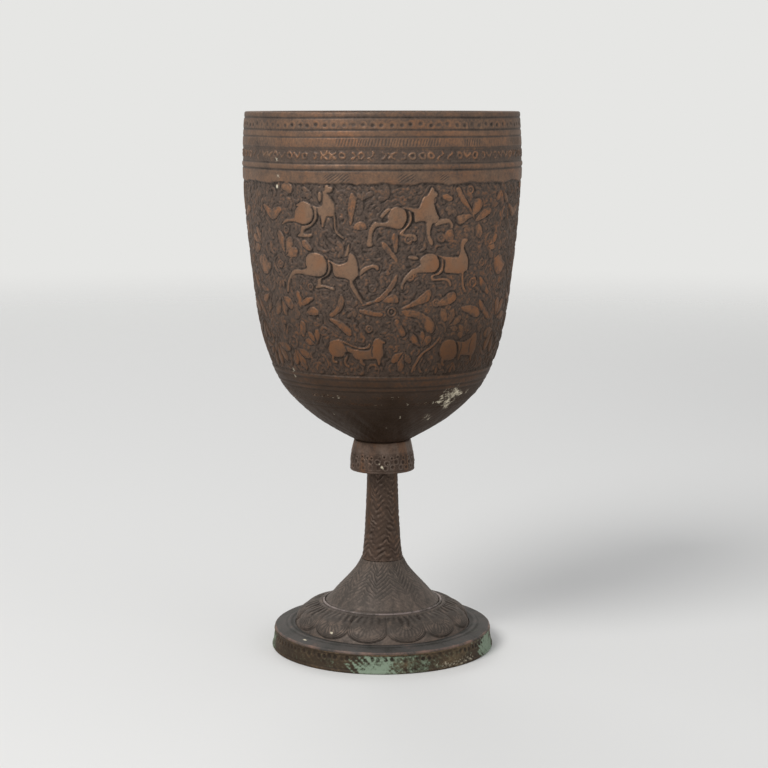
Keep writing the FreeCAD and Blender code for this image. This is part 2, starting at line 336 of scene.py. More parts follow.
def quads(rows, columns, closed):
    """Corners of a grid's faces. Columns close round; the last row meets the first where closed says so."""
    row = np.arange(rows if closed else rows - 1)[:, None]
    column = np.arange(columns)[None, :]
    after, above = (column + 1) % columns, (row + 1) % rows
    this, other = row * columns, above * columns
    return np.stack([this + column, this + after, other + after, other + column], -1).astype(np.int32)


def write_mesh(name, grid, normals, values, material, nodes):
    """A closed skin: rows run round a section, columns run round the cup, and both are joined end to end.

    Each corner takes the normal and the values of its grid point.
    """
    rows, columns = grid.shape[:2]
    corners = quads(rows, columns, True)
    mesh = bpy.data.meshes.new(name)
    mesh.vertices.add(rows * columns)
    mesh.vertices.foreach_set("co", (grid * MM).astype(np.float32).ravel())
    mesh.loops.add(corners.size)
    mesh.loops.foreach_set("vertex_index", corners.ravel())
    mesh.polygons.add(rows * columns)
    mesh.polygons.foreach_set("loop_start", np.arange(0, corners.size, 4, dtype=np.int32))
    mesh.polygons.foreach_set("use_smooth", np.ones(rows * columns, dtype=bool))
    mesh.update(calc_edges=True)
    for key, array in values.items():
        if key in VALUE_CEILINGS:
            array = np.clip(array, 0.0, VALUE_CEILINGS[key])
        layer = mesh.attributes.new(key, "FLOAT", "POINT")
        layer.data.foreach_set("value", np.broadcast_to(array, (rows, columns)).astype(np.float32).ravel())
    mesh.normals_split_custom_set_from_vertices(normals.reshape(-1, 3).astype(np.float32))
    mesh.materials.append(material)
    piece = bpy.data.objects.new(name, mesh)
    bpy.context.scene.collection.objects.link(piece)
    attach(piece, "root")
    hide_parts(*nodes)


def turned(section, columns, lift=0.0, closed=False):
    """A section of radius and height turned about the axis, each point moved along its normal by lift."""
    angle = np.arange(columns) * TAU / columns
    out = side_of(section, closed)
    radius = section[:, :1] + lift * out[:, :1] + np.zeros(columns)
    level = section[:, 1:] + lift * out[:, 1:] + np.zeros(columns)
    return np.stack([radius * np.sin(angle), -radius * np.cos(angle), level], -1)


def grid_normals(grid, closed):
    """Unit normals from central differences, wrapped round the cup, and round a closed section."""
    across = np.roll(grid, -1, axis=1) - np.roll(grid, 1, axis=1)
    up = np.roll(grid, -1, axis=0) - np.roll(grid, 1, axis=0) if closed else np.gradient(grid, axis=0)
    normal = np.cross(across, up)
    return normal / np.linalg.norm(normal, axis=2)[..., None]


def with_back(values, shape, back_rows):
    """Every value over a front of that shape as a whole array, and the plain one on the rows of its back."""
    whole = {}
    for key, plain in PLAIN_VALUES.items():
        front = np.broadcast_to(values.get(key, plain), shape)
        whole[key] = np.concatenate([front, np.full((back_rows, shape[1]), plain)])
    return whole


def behind(front, thick, step):
    """The plain back of a sheet: its front moved in by the thickness, and followed the other way."""
    return even(front[::-1] - side_of(front)[::-1] * thick, step)


def skin(name, front, back, columns, lift, values, material, nodes):
    """A closed skin of one section: its worked front, lifted, and the plain rest of its loop behind."""
    shape = (len(front), columns)
    raised = np.concatenate([np.broadcast_to(lift, shape), np.zeros((len(back), columns))])
    grid = turned(np.concatenate([front, back]), columns, raised, True)
    values = with_back(values, shape, len(back))
    write_mesh(name, grid, grid_normals(grid, True), values, material, nodes)


# Materials


def add(tree, kind, inputs=(), out=0, **settings):
    """Adds a node, sets its properties, and links or sets its inputs, by name, by number or in order."""
    node = tree.nodes.new("ShaderNode" + kind)
    for key, value in settings.items():
        setattr(node, key, value)
    for slot, value in inputs.items() if isinstance(inputs, dict) else enumerate(inputs):
        if isinstance(value, bpy.types.NodeSocket):
            tree.links.new(value, node.inputs[slot])
        else:
            node.inputs[slot].default_value = value
    return node.outputs[out] if node.outputs else node


def new_tree(name):
    """A new material and its node tree, still empty."""
    material = bpy.data.materials.new(name)
    material.use_nodes = True
    material.node_tree.nodes.clear()
    return material, material.node_tree


def bronze(name, tones, metallic, rough, grain_mm):
    """Patinated bronze that was chased, engraved or cast.

    Handled high parts are warm and smoother, sunk ground is duller, and cut lines are almost black: the
    attribute relief, from 0 to 1, tells them apart. Copper says how far the raised metal is rubbed to its
    redder tone. The grime value darkens whole zones with the grime colour: real grime in some, and painted
    shade in others, low on the bowl, at its sides, and under the bowl and the knop. Verdigris lays green
    corrosion over the metal. The chalk value lays a pale colour: dried deposit in most places, a painted
    highlight on the knop's front and painted glints on the base's punched rings. Tones: cut line, ground,
    and two of the high parts.
    """
    material, tree = new_tree(name)
    colours = bpy.context.scene.goblet_colours
    place = add(tree, "TexCoord", out="Object")
    relief, copper, grime, verdigris, chalk = (
        add(tree, "Attribute", out="Fac", attribute_name=key) for key in PLAIN_VALUES
    )

    # Clouds of tarnish 15 mm across, blotches of 3 mm, specks of 0.8 mm, and the grain of the metal
    noises = ((15.0, 5.0, 0.6), (3.2, 6.0, 0.66), (0.8, 4.0, 0.7), (grain_mm, 5.0, 0.7))
    cloud, blotch, speck, grain = (
        add(tree, "TexNoise", {"Vector": place, "Scale": 1 / (size * MM), "Detail": fine, "Roughness": harsh})
        for size, fine, harsh in noises
    )
    swing = add(tree, "MapRange", (blotch, 0.25, 0.75, -0.5, 0.5))
    flick = add(tree, "MapRange", (speck, 0.3, 0.7, -0.5, 0.5))

    height = add(tree, "Math", (swing, 0.34, relief), operation="MULTIPLY_ADD")
    height = add(tree, "Math", (flick, 0.22, height), operation="MULTIPLY_ADD")
    low = add(tree, "MapRange", (height, 0.0, 0.36, 0.0, 1.0))
    high = add(tree, "MapRange", (height, 0.46, 0.92, 0.0, 1.0))
    warm = add(tree, "MapRange", (cloud, 0.36, 0.64, -0.35, 0.35))
    warm = add(tree, "Math", (warm, copper), operation="ADD", use_clamp=True)
    sunk = add(tree, "Mix", {0: low, 6: tones[0], 7: tones[1]}, **COLOUR_MIX)
    raised = add(tree, "Mix", {0: warm, 6: tones[2], 7: tones[3]}, **COLOUR_MIX)
    metal = add(tree, "Mix", {0: high, 6: sunk, 7: raised}, **COLOUR_MIX)
    # How far the grime colour is laid: real grime, and painted shade where a piece sets it high
    grime_and_shade_mix = add(tree, "MapRange", (cloud, 0.3, 0.7, 1.1, 0.75))
    grime_and_shade_mix = add(tree, "Math", (grime, grime_and_shade_mix), operation="MULTIPLY", use_clamp=True)
    metal = add(tree, "Mix", {0: grime_and_shade_mix, 6: metal, 7: tuple(colours.grime)}, **COLOUR_MIX)

    # Corrosion eats in from ragged edges, so the noise is added before the step
    edge = add(tree, "Math", (swing, 0.55, verdigris), operation="MULTIPLY_ADD")
    edge = add(tree, "Math", (flick, 0.35, edge), operation="MULTIPLY_ADD")
    green = add(tree, "MapRange", (edge, 0.34, 0.80, 0.0, 0.92))
    powder = add(tree, "MapRange", (edge, 0.45, 0.95, 0.0, 1.0))
    thin, thick = tuple(colours.verdigris_dark), tuple(colours.verdigris_pale)
    green_tone = add(tree, "Mix", {0: powder, 6: thin, 7: thick}, **COLOUR_MIX)
    coat = add(tree, "Mix", {0: green, 6: metal, 7: green_tone}, **COLOUR_MIX)
    # The pale colour, dull and not metal: dried deposit, and on the knop and the base's rings painted
    # highlights and glints
    edge = add(tree, "Math", (flick, 0.6, chalk), operation="MULTIPLY_ADD")
    white = add(tree, "MapRange", (edge, 0.44, 0.86, 0.0, 1.0))
    coat = add(tree, "Mix", {0: white, 6: coat, 7: tuple(colours.chalk)}, **COLOUR_MIX)

    crust = add(tree, "Math", (green, white), operation="MAXIMUM")
    bare = add(tree, "Math", (1.0, crust), operation="SUBTRACT")
    shine = add(tree, "MapRange", (high, 0.0, 1.0, metallic * 0.7, metallic))
    shine = add(tree, "Math", (shine, bare), operation="MULTIPLY")
    dull = add(tree, "MapRange", (high, 0.0, 1.0, rough + 0.16, rough))
    dull = add(tree, "Math", (swing, 0.12, dull), operation="MULTIPLY_ADD")
    dull = add(tree, "Math", (crust, 0.3, dull), operation="MULTIPLY_ADD", use_clamp=True)
    pits = add(tree, "Math", (blotch, 0.8, grain), operation="MULTIPLY_ADD")
    pits = add(tree, "Bump", {"Height": pits, "Strength": 0.4, "Distance": 0.12 * MM})
    # The film of tarnish keeps its brown where the light grazes it
    surface = add(tree, "BsdfPrincipled", {
        "Base Color": coat, "Metallic": shine, "Roughness": dull, "Normal": pits,
        "Specular Tint": tuple(colours.film),
    })
    add(tree, "OutputMaterial", {"Surface": surface})
    return material


# The frieze's figures: closed outlines of the raised parts, then open cut lines. Each is a list of x and y
# in tenths of a millimetre from the middle of the haunch, and a smooth curve runs through its points.

LEAPING_DEER = ([
    [-95, -35, -85, -25, -73, -19, -42, -14, -36, 7, -30, 17, -20, 23, -31, 26, -10, 37, 3, 38, 27, 26, 32, 2,
     24, -22, -2, -32, -45, -24, -74, -27],
    [30, 26, 44, 21, 47, 9, 42, -17, 23, -39, -4, -49, -3, -63, 23, -62, 12, -71, -29, -70, -20, -61, -16,
     -51, -15, -41, -8, -37, 8, -35, 22, -28, 32, -16, 36, -1, 35, 13],
    [30, 27, 44, 23, 56, 23, 66, 32, 70, 68, 75, 75, 76, 86, 80, 91, 87, 90, 90, 85, 100, 83, 99, 75, 93, 70,
     83, 68, 81, 64, 87, 59, 104, 32, 105, 6, 101, -3, 91, -5, 82, -4, 77, -8, 69, -26, 66, -37, 62, -38, 60,
     -32, 58, -11, 49, 5, 41, 11],
    [102, -1, 106, -9, 110, -48, 132, -69, 130, -72, 119, -66, 105, -49],
    [52, 66, 61, 67, 61, 45, 56, 41, 53, 47],
], [
    [28, 21, 35, -2, 23, -25, -5, -35],
    [47, 17, 46, -15, 27, -36, 3, -49],
    [57, -5, 58, -18, 59, -32],
])
RUNNING_STAG = ([
    [-131, -90, -129, -76, -119, -49, -92, -20, -58, -18, -43, -15, -36, -8, -40, 1, -36, 22, -17, 36, 13, 35,
     33, 20, 38, -5, 27, -28, 3, -36, -67, -30, -97, -37, -116, -59, -125, -89],
    [41, 10, 47, 12, 51, -8, 40, -30, 17, -42, 12, -59, 17, -65, 29, -65, 56, -70, 60, -75, 54, -77, 25, -69,
     -3, -73, -8, -70, -1, -64, 3, -54, 4, -45, 23, -36, 34, -28, 40, -17, 43, -4],
    [44, 17, 69, 6, 87, 4, 109, 14, 115, 35, 121, 39, 134, 29, 141, 4, 144, -21, 140, -31, 126, -45, 118, -46,
     96, -37, 67, -33, 59, -15, 59, -1, 54, 8, 45, 12],
    [115, -43, 122, -45, 125, -56, 146, -94, 156, -115, 152, -117, 145, -106, 118, -68],
    [144, -25, 162, -5, 192, 4, 205, 2, 210, -5, 207, -12, 201, -10, 195, -4, 181, -7, 156, -24, 147, -31],
    [95, 30, 103, 35, 113, 65, 116, 64, 110, 34],
], [
    [32, 26, 41, 3, 35, -26, 11, -39, -6, -39],
    [50, 8, 55, -12, 42, -34, 19, -46],
    [135, -42, 144, -35, 147, -24, 146, -10],
    [132, -46, 141, -76, 158, -105],
])
GALLOPING_HORSE = ([
    [-95, -88, -93, -70, -87, -39, -74, -18, -65, -15, -55, -18, -34, -16, -28, -9, -30, 1, -17, 26, 5, 30,
     24, 18, 28, -7, 16, -30, 7, -35, -5, -34, -32, -28, -61, -28, -72, -35, -78, -47, -81, -73, -79, -85,
     -85, -90],
    [35, 18, 41, 11, 44, -2, 42, -16, 35, -27, 28, -34, 18, -49, 25, -54, 51, -53, 62, -66, 57, -74, 50, -73,
     51, -64, 44, -60, 27, -60, 8, -51, 30, -27, 36, -14, 38, 2, 35, 12],
    [18, 30, 55, 27, 68, 30, 81, 59, 95, 67, 106, 89, 112, 87, 115, 79, 121, 75, 125, 69, 122, 61, 116, 59,
     114, 40, 126, 7, 132, -1, 131, -9, 120, -20, 111, -21, 104, -43, 105, -59, 115, -80, 110, -88, 98, -68,
     93, -25, 90, -15, 80, -11, 66, -13, 57, -16, 53, -10, 51, 11, 36, 22, 25, 24],
    [132, -8, 142, -7, 166, -8, 182, -23, 183, -34, 178, -37, 168, -20, 132, -26, 124, -30, 120, -24, 127,
     -16],
    [-53, 4, -35, 24, -21, 26, -38, 8, -47, -1],
], [
    [24, 24, 32, 1, 25, -24, 16, -35],
    [48, 13, 49, -14, 35, -36],
    [122, 30, 127, 16, 135, 1, 135, -9],
])
STRIDING_HORSE = ([
    [-94, -76, -93, -60, -79, -36, -59, -17, -47, -14, -32, -2, -34, 7, -32, 16, -15, 29, 12, 29, 28, 14, 31,
     -9, 18, -25, 5, -27, -30, -26, -56, -32, -84, -58, -90, -78],
    [40, 15, 45, 9, 47, -20, 32, -35, 15, -38, 11, -46, 27, -48, 50, -47, 66, -50, 76, -57, 81, -68, 78, -74,
     68, -60, 57, -54, 16, -53, 7, -50, 8, -38, 35, -25, 42, 2],
    [27, 25, 50, 20, 95, 17, 106, 20, 109, 33, 110, 63, 115, 72, 124, 75, 134, 71, 132, 66, 125, 60, 121, 48,
     125, 36, 140, 11, 143, -18, 136, -27, 128, -32, 128, -48, 133, -73, 144, -93, 139, -96, 131, -86, 125,
     -73, 122, -48, 120, -35, 109, -34, 73, -31, 57, -29, 53, -18, 50, 9],
    [-73, 22, -59, 25, -43, 21, -41, 16, -55, 15, -70, 18],
], [
    [27, 20, 36, -2, 28, -25, 18, -30],
    [51, 10, 52, -3, 50, -17],
    [124, 45, 145, 11, 146, -20],
])
STALKING_LION = ([
    [-32, -7, -22, 20, 8, 26, 24, 20, 31, -5, 17, -23, -17, -23],
    [31, 10, 59, 2, 76, 0, 115, -3, 131, 16, 140, 34, 151, 36, 174, 27, 172, 22, 165, 19, 168, -5, 167, -19,
     161, -27, 156, -48, 150, -46, 144, -29, 126, -29, 85, -32, 70, -30, 60, -21, 56, -11, 44, -7, 32, -8],
    [-26, 18, -20, 25, -1, 30, 21, 29, 60, 13, 80, 8, 99, 7, 112, 11, 120, 20, 123, 16, 116, 6, 80, 4, 20, 24,
     -1, 25],
    [26, -18, 33, -17, 38, -24, 29, -42, 34, -51, 42, -55, 38, -59, 28, -55, 23, -45],
    [-22, -23, -14, -25, -17, -34, -13, -40, -4, -42, -6, -46, -18, -45, -24, -38],
    [83, -32, 92, -32, 94, -41, 101, -47, 99, -52, 89, -48, 83, -41],
], [
    [34, 7, 38, -5, 34, -17, 26, -25],
    [131, 11, 128, -3, 130, -19],
])
CROUCHING_OX = ([
    [-36, 15, -25, 27, -7, 32, 14, 29, 27, 19, 36, -13, 30, -27, 16, -34, -2, -35, -20, -30, -38, -11],
    [23, 26, 57, 20, 93, 30, 114, 48, 127, 33, 132, -2, 128, -19, 121, -30, 122, -43, 117, -46, 108, -27, 89,
     -25, 66, -21, 56, -25, 54, -36, 48, -36, 47, -20, 38, 12],
    [-48, 45, -45, 40, -58, 23, -77, 7, -96, -3, -110, -16, -131, -50, -139, -68, -144, -68, -138, -48, -115,
     -12, -80, 13, -62, 27],
    [-25, -28, -16, -32, -17, -43, -9, -50, -12, -54, -22, -49, -27, -39],
], [
    [26, 25, 42, -4, 34, -30],
    [51, 16, 53, 0, 49, -15],
    [99, 25, 93, 7, 97, -13],
])

# Each figure's haunch: place round the cup and height above the frieze's foot, in millimetres
FIGURES = [
    (LEAPING_DEER, -25.5, 51.6), (GALLOPING_HORSE, 4.8, 51.0),
    (GALLOPING_HORSE, 83.0, 51.0), (LEAPING_DEER, 115.9, 51.5), (GALLOPING_HORSE, -136.5, 51.0),
    (LEAPING_DEER, -109.0, 51.5), (STRIDING_HORSE, -86.0, 51.0),
    (RUNNING_STAG, -22.1, 35.8), (STRIDING_HORSE, 15.7, 36.4),
    (GALLOPING_HORSE, 85.0, 36.2), (RUNNING_STAG, 119.6, 35.8), (STRIDING_HORSE, -125.8, 36.2),
    (RUNNING_STAG, -92.0, 35.8),
    (STALKING_LION, -16.5, 9.2), (CROUCHING_OX, 25.5, 8.6),
    (CROUCHING_OX, 92.0, 8.6), (STALKING_LION, 124.9, 9.2), (CROUCHING_OX, -115.8, 8.6),
    (STALKING_LION, -83.0, 9.2),
]

# Outlines of the front's leaves, in tenths of a millimetre round the cup and above the frieze's foot
LEAF_OUTLINES = [
    [-184, 200, -168, 214, -155, 228, -140, 265, -133, 262, -130, 244, -141, 216, -170, 198],
    [-183, 190, -143, 181, -120, 167, -106, 149, -111, 138, -123, 140, -157, 168, -176, 180],
    [-76, 220, -52, 219, -1, 210, -3, 201, -29, 202, -70, 211],
    [2, 248, 33, 270, 48, 265, 53, 252, 46, 244],
    [-66, 234, -43, 245, -20, 254, 16, 286, 44, 330, 48, 316, 41, 298, 12, 261, -7, 249],
    [64, 222, 107, 247, 148, 278, 161, 281, 165, 267, 158, 250, 142, 241, 120, 236],
    [65, 217, 116, 215, 162, 194, 180, 175, 185, 156, 171, 143, 157, 152, 145, 171, 129, 186, 107, 198, 84,
     201],
    [41, 182, 50, 189, 60, 180, 80, 148, 74, 137, 61, 141, 54, 157],
    [-100, 571, -93, 583, -85, 576, -81, 557, -99, 485, -105, 530],
    [-89, 480, -77, 494, -61, 495, -50, 485, -52, 473, -80, 471],
    [239, 594, 249, 598, 268, 571, 309, 515, 316, 498, 289, 529, 256, 561, 246, 576],
    [309, 511, 306, 535, 310, 553, 324, 562, 340, 557, 346, 543, 339, 527],
    [321, 494, 352, 525, 373, 531, 389, 525, 380, 511, 341, 495],
    [248, 508, 289, 514, 305, 508, 289, 500, 256, 485],
    [325, 475, 339, 480, 350, 470, 354, 453, 344, 439, 330, 443, 324, 459],
    [191, 575, 205, 579, 220, 572, 226, 562, 212, 558, 197, 564],
    [205, 456, 218, 468, 232, 463, 236, 449, 225, 439, 210, 442],
    [36, 461, 48, 452, 48, 407, 40, 403, 35, 425, 33, 446],
    [1, 432, 16, 425, 43, 388, 49, 373, 35, 381, 4, 415],
    [205, 221, 220, 215, 230, 200, 229, 183, 219, 179, 208, 195],
    [190, 239, 211, 253, 235, 268, 253, 270, 262, 255, 250, 238, 202, 230],
    [289, 221, 316, 224, 348, 220, 375, 207, 379, 190, 357, 185, 325, 200, 298, 210],
    [370, 239, 389, 230, 430, 193, 440, 175, 423, 177, 381, 212],
    [361, 312, 380, 303, 416, 264, 410, 256, 389, 268, 370, 286],
    [-307, 135, -309, 157, -301, 175, -288, 171, -285, 153, -292, 133, -300, 125],
    [-293, 235, -275, 249, -253, 255, -245, 247, -280, 228],
    [-270, 207, -252, 223, -230, 217, -225, 203, -243, 198, -261, 200],
    [-343, 603, -325, 614, -308, 607, -300, 592, -310, 579, -340, 592],
    [-443, 539, -425, 535, -401, 525, -362, 535, -352, 525, -370, 508, -393, 495, -412, 502, -432, 521],
    [-510, 362, -493, 375, -470, 377, -452, 357, -434, 348, -448, 326, -475, 316, -498, 330],
    [-270, 430, -259, 434, -236, 412, -239, 403, -253, 405, -265, 415],
    [-316, 266, -303, 271, -293, 257, -291, 239, -298, 221, -310, 250],
]
# Punched flowers: place round the cup, height above the frieze's foot, radius
RINGS = [
    (18.5, 24.0, 1.25), (33.0, 29.8, 1.7), (8.3, 44.0, 1.3), (19.2, 44.4, 1.3), (29.2, 59.0, 1.3),
    (-37.3, 35.5, 1.3), (3.2, 21.4, 1.5), (-4.4, 16.0, 1.2), (-14.2, 33.4, 0.9), (22.0, 44.6, 1.5),
    (-33.4, 46.4, 1.1), (-25.0, 28.8, 1.1), (9.2, 32.4, 1.3), (-3.2, 28.8, 1.2), (36.4, 36.0, 1.2),
    (16.0, 56.0, 0.9),
]
# Sprigs that fill the ground: seed, tries, length, turn, half width, gap, leaves in a fan, rank
FILLINGS = [
    (39, 300, 6.6, 0.3, 1.3, 0.45, 3, 0.95), (40, 700, 5.2, 0.35, 0.95, 0.30, 3, 0.92),
    (43, 1500, 6.6, 3.6, 0.24, 0.30, 1, 0.80), (41, 1600, 4.0, 0.4, 0.70, 0.25, 4, 0.88),
    (42, 2600, 2.9, 0.5, 0.54, 0.20, 3, 0.84), (44, 3500, 2.8, 2.2, 0.24, 0.25, 1, 0.76),
    (45, 4000, 1.0, 0.6, 0.22, 0.22, 1, 0.76),
]


def flowing(values, closed, count=6):
    """A curve through points: over each span it is the cubic that leaves and meets the points along the lines
    that join their neighbours."""
    points = np.reshape(values, (-1, 2)) / 10.0
    if closed:
        points = np.concatenate([points[-1:], points, points[:2]])
    else:
        points = np.concatenate([2 * points[:1] - points[1:2], points, 2 * points[-1:] - points[-2:-1]])
    before, start, end, after = points[:-3, None], points[1:-2, None], points[2:-1, None], points[3:, None]
    t = np.linspace(0.0, 1.0, count, endpoint=closed is False)[None, :, None]
    bend = 2 * before - 5 * start + 4 * end - after
    twist = 3 * start - before - 3 * end + after
    curve = start + 0.5 * ((end - before) * t + bend * t ** 2 + twist * t ** 3)
    return curve.reshape(-1, 2)


class Relief:
    """Height field of the frieze: distance to the raised shapes, how proud each stands, and the cut lines."""

    def __init__(self, columns, levels):
        self.columns = columns
        self.step = AROUND / columns
        self.levels = levels
        self.rise = levels[1] - levels[0]
        self.edge = np.full((len(levels), columns), FAR)
        self.cut = np.zeros((len(levels), columns))
        self.rank = np.ones((len(levels), columns))

    def window(self, low, high, margin=2.6):
        """Rows, columns and coordinates of the part of the grid round a box."""
        first, last = (int(round(v / self.step)) for v in (low[0] - margin, high[0] + margin))
        across = np.arange(first, last + 1)
        bottom, top = (int((v - self.levels[0]) / self.rise) for v in (low[1] - margin, high[1] + margin))
        rows = np.arange(max(0, bottom), min(len(self.levels), top + 2))
        return np.ix_(rows, across % self.columns), across[None, :] * self.step, self.levels[rows][:, None]

    def raise_shape(self, cells, distance, rank):
        """Takes in a shape by its signed distance: each cell keeps the nearest shape and its rank."""
        closer = distance < self.edge[cells]
        self.edge[cells] = np.where(closer, distance, self.edge[cells])
        self.rank[cells] = np.where(closer, rank, self.rank[cells])

    def reach(self, curve, margin, closed):
        """Distance from a curve over the window round it, and whether a level ray from the cell crosses it an
        odd number of times."""
        cells, across, up = self.window(curve.min(0), curve.max(0), margin)
        ends = np.roll(curve, -1, axis=0)
        sides = slice(None) if closed else slice(0, -1)
        x, y = (curve[sides, i, None, None] for i in (0, 1))
        run, climb = ((ends - curve)[sides, i, None, None] for i in (0, 1))
        t = np.clip(((across - x) * run + (up - y) * climb) / (run ** 2 + climb ** 2 + 1e-9), 0.0, 1.0)
        away = np.sqrt(((across - x - t * run) ** 2 + (up - y - t * climb) ** 2).min(0))
        beside = across < x + (up - y) * run / np.where(climb == 0.0, 1.0, climb)
        odd = (((y > up) != (y + climb > up)) & beside).sum(0) % 2 == 1
        return cells, away, odd

    def drawn(self, curve, rank):
        """Raises the inside of a closed curve."""
        cells, away, odd = self.reach(curve, 2.6, True)
        self.raise_shape(cells, np.where(odd, -away, away), rank)

    def line(self, curve, width=0.25):
        """Cuts a groove along an open curve."""
        cells, away = self.reach(curve, 1.0, False)[:2]
        self.cut[cells] = np.maximum(self.cut[cells], bump_at(away, 0.0, width))

    def stroke(self, points, widths, rank):
        """Raises a tapered stroke: the distance to a line through points, less its half width there."""
        for start, end, thick, thin in zip(points[:-1], points[1:], widths[:-1], widths[1:]):
            cells, across, up = self.window(np.minimum(start, end), np.maximum(start, end), 2.0)
            run, climb = end - start
            t = ((across - start[0]) * run + (up - start[1]) * climb) / (run ** 2 + climb ** 2 + 1e-9)
            t = np.clip(t, 0.0, 1.0)
            away = np.hypot(across - start[0] - t * run, up - start[1] - t * climb)
            self.raise_shape(cells, away - thick - (thin - thick) * t, rank)

    def ring(self, x, y, radius, rank=0.9):
        """A punched flower: a raised ring round a raised dot."""
        cells, across, up = self.window((x - radius, y - radius), (x + radius, y + radius))
        away = np.hypot(across - x, up - y)
        self.raise_shape(cells, np.minimum(np.abs(away - radius * 0.8) - 0.24, away - radius * 0.28), rank)

    def clear(self, points, room):
        """True where every point is further from all shapes than the room asked for."""
        rows = np.clip(((points[:, 1] - self.levels[0]) / self.rise).astype(int), 0, len(self.levels) - 1)
        columns = np.round(points[:, 0] / self.step).astype(int) % self.columns
        return bool(np.all(self.edge[rows, columns] > room))

    def fill(self, seed, tries, size, turn, half_width, gap, fan, rank, ceiling):
        """Seeded sprigs, placed one by one wherever they clear what is there.

        A sprig is a fan of leaves from one root, or a single tendril. Each runs along an arc that turns by
        the given angle. Its half width is half a sine wave of its share to a power, so that a leaf is widest
        past its middle.
        """
        draw = np.random.default_rng(seed)
        share = np.linspace(0.0, 1.0, 7)
        for _ in range(tries):
            root = np.array([draw.uniform(-AROUND / 2, AROUND / 2), draw.uniform(0.8, ceiling)])
            heading = draw.uniform(0.0, TAU)
            bend = turn * draw.choice([-1.0, 1.0]) * draw.uniform(0.6, 1.3)
            leaves = []
            for index in range(fan):
                lean = heading + (index - (fan - 1) / 2.0) * 0.72 + bend * share
                step = size * draw.uniform(0.7, 1.25) / 6.0 * np.c_[np.cos(lean), np.sin(lean)]
                leaves.append(root + np.cumsum(step, axis=0) - step[0] * (0.0 if fan > 1 else 1.0))
            points = np.concatenate(leaves)
            fits = points[:, 1].min() >= 0.6 and points[:, 1].max() <= ceiling
            if not (fits and self.clear(points, half_width + gap)):
                continue
            for leaf in leaves:
                swell = np.sin(math.pi * share ** (1.6 if fan > 1 else 0.8))
                widths = 0.1 + half_width * draw.uniform(0.8, 1.15) * swell
                self.stroke(leaf, widths, rank * draw.uniform(0.92, 1.04))


# The bowl


def nearest_punch(seed, across, up, pitch):
    """Distance to the nearest of a scatter of punch marks: one in each square of a grid that closes round the
    cup, at a seeded place in its square."""
    count = round(AROUND / pitch)
    width = AROUND / count
    marks = np.random.default_rng(seed).uniform(0.18, 0.82, (count, PUNCH_ROWS, 2))
    first = np.floor(across / width).astype(int)
    second = np.floor(up / pitch).astype(int)
    first, second = np.broadcast_arrays(first, second)
    best = np.full(first.shape, FAR)
    for i in (-1, 0, 1):
        for j in (-1, 0, 1):
            mark = marks[(first + i) % count, (second + j) % PUNCH_ROWS]
            x, y = (first + i + mark[..., 0]) * width, (second + j + mark[..., 1]) * pitch
            best = np.minimum(best, np.hypot(across - x, up - y))
    return best


def row_cells(across, count, seed, jitter):
    """Place in a row of even cells round the cup: signed distance from a cell's centre, and its number."""
    width = AROUND / count
    index = np.floor(across / width + 0.5).astype(int) % count
    shift = np.random.default_rng(seed).uniform(-jitter, jitter, count)[index]
    local = (across / width + 0.5) % 1.0 - 0.5
    return local * width - shift, index


def punched_row(real, girth, count, seed, jitter):
    """Place in a row of hand-set punch marks: signed distance from a mark, and two more seeded strays."""
    width = girth / count
    index = np.floor(real / width).astype(int) % count
    shift = np.random.default_rng(seed).uniform(-jitter, jitter, (3, count))[:, index]
    return real % width - width / 2 - shift[0], shift[1], shift[2]


def in_spans(across, spans, seed):
    """One inside the given spans of the side in the photograph, and in seeded patches on the other side."""
    seen = sum(between(across, start - 0.8, start + 0.8, end - 0.8, end + 0.8) for start, end in spans)
    return mixed(ramp(np.abs(across), 42.0, 46.0), worn_at(seed, across, 30.0, 2, -0.2, 0.3), seen)


def hatching(across, depth, slope, step, seed, wave):
    """Engraved strokes at even steps, which lean by the slope and waver a little."""
    phase = (across + slope * depth) / step + 0.3 * ripple(seed, across, depth, wave, 2)
    return bump_at(phase % 1.0, 0.5, 0.17)


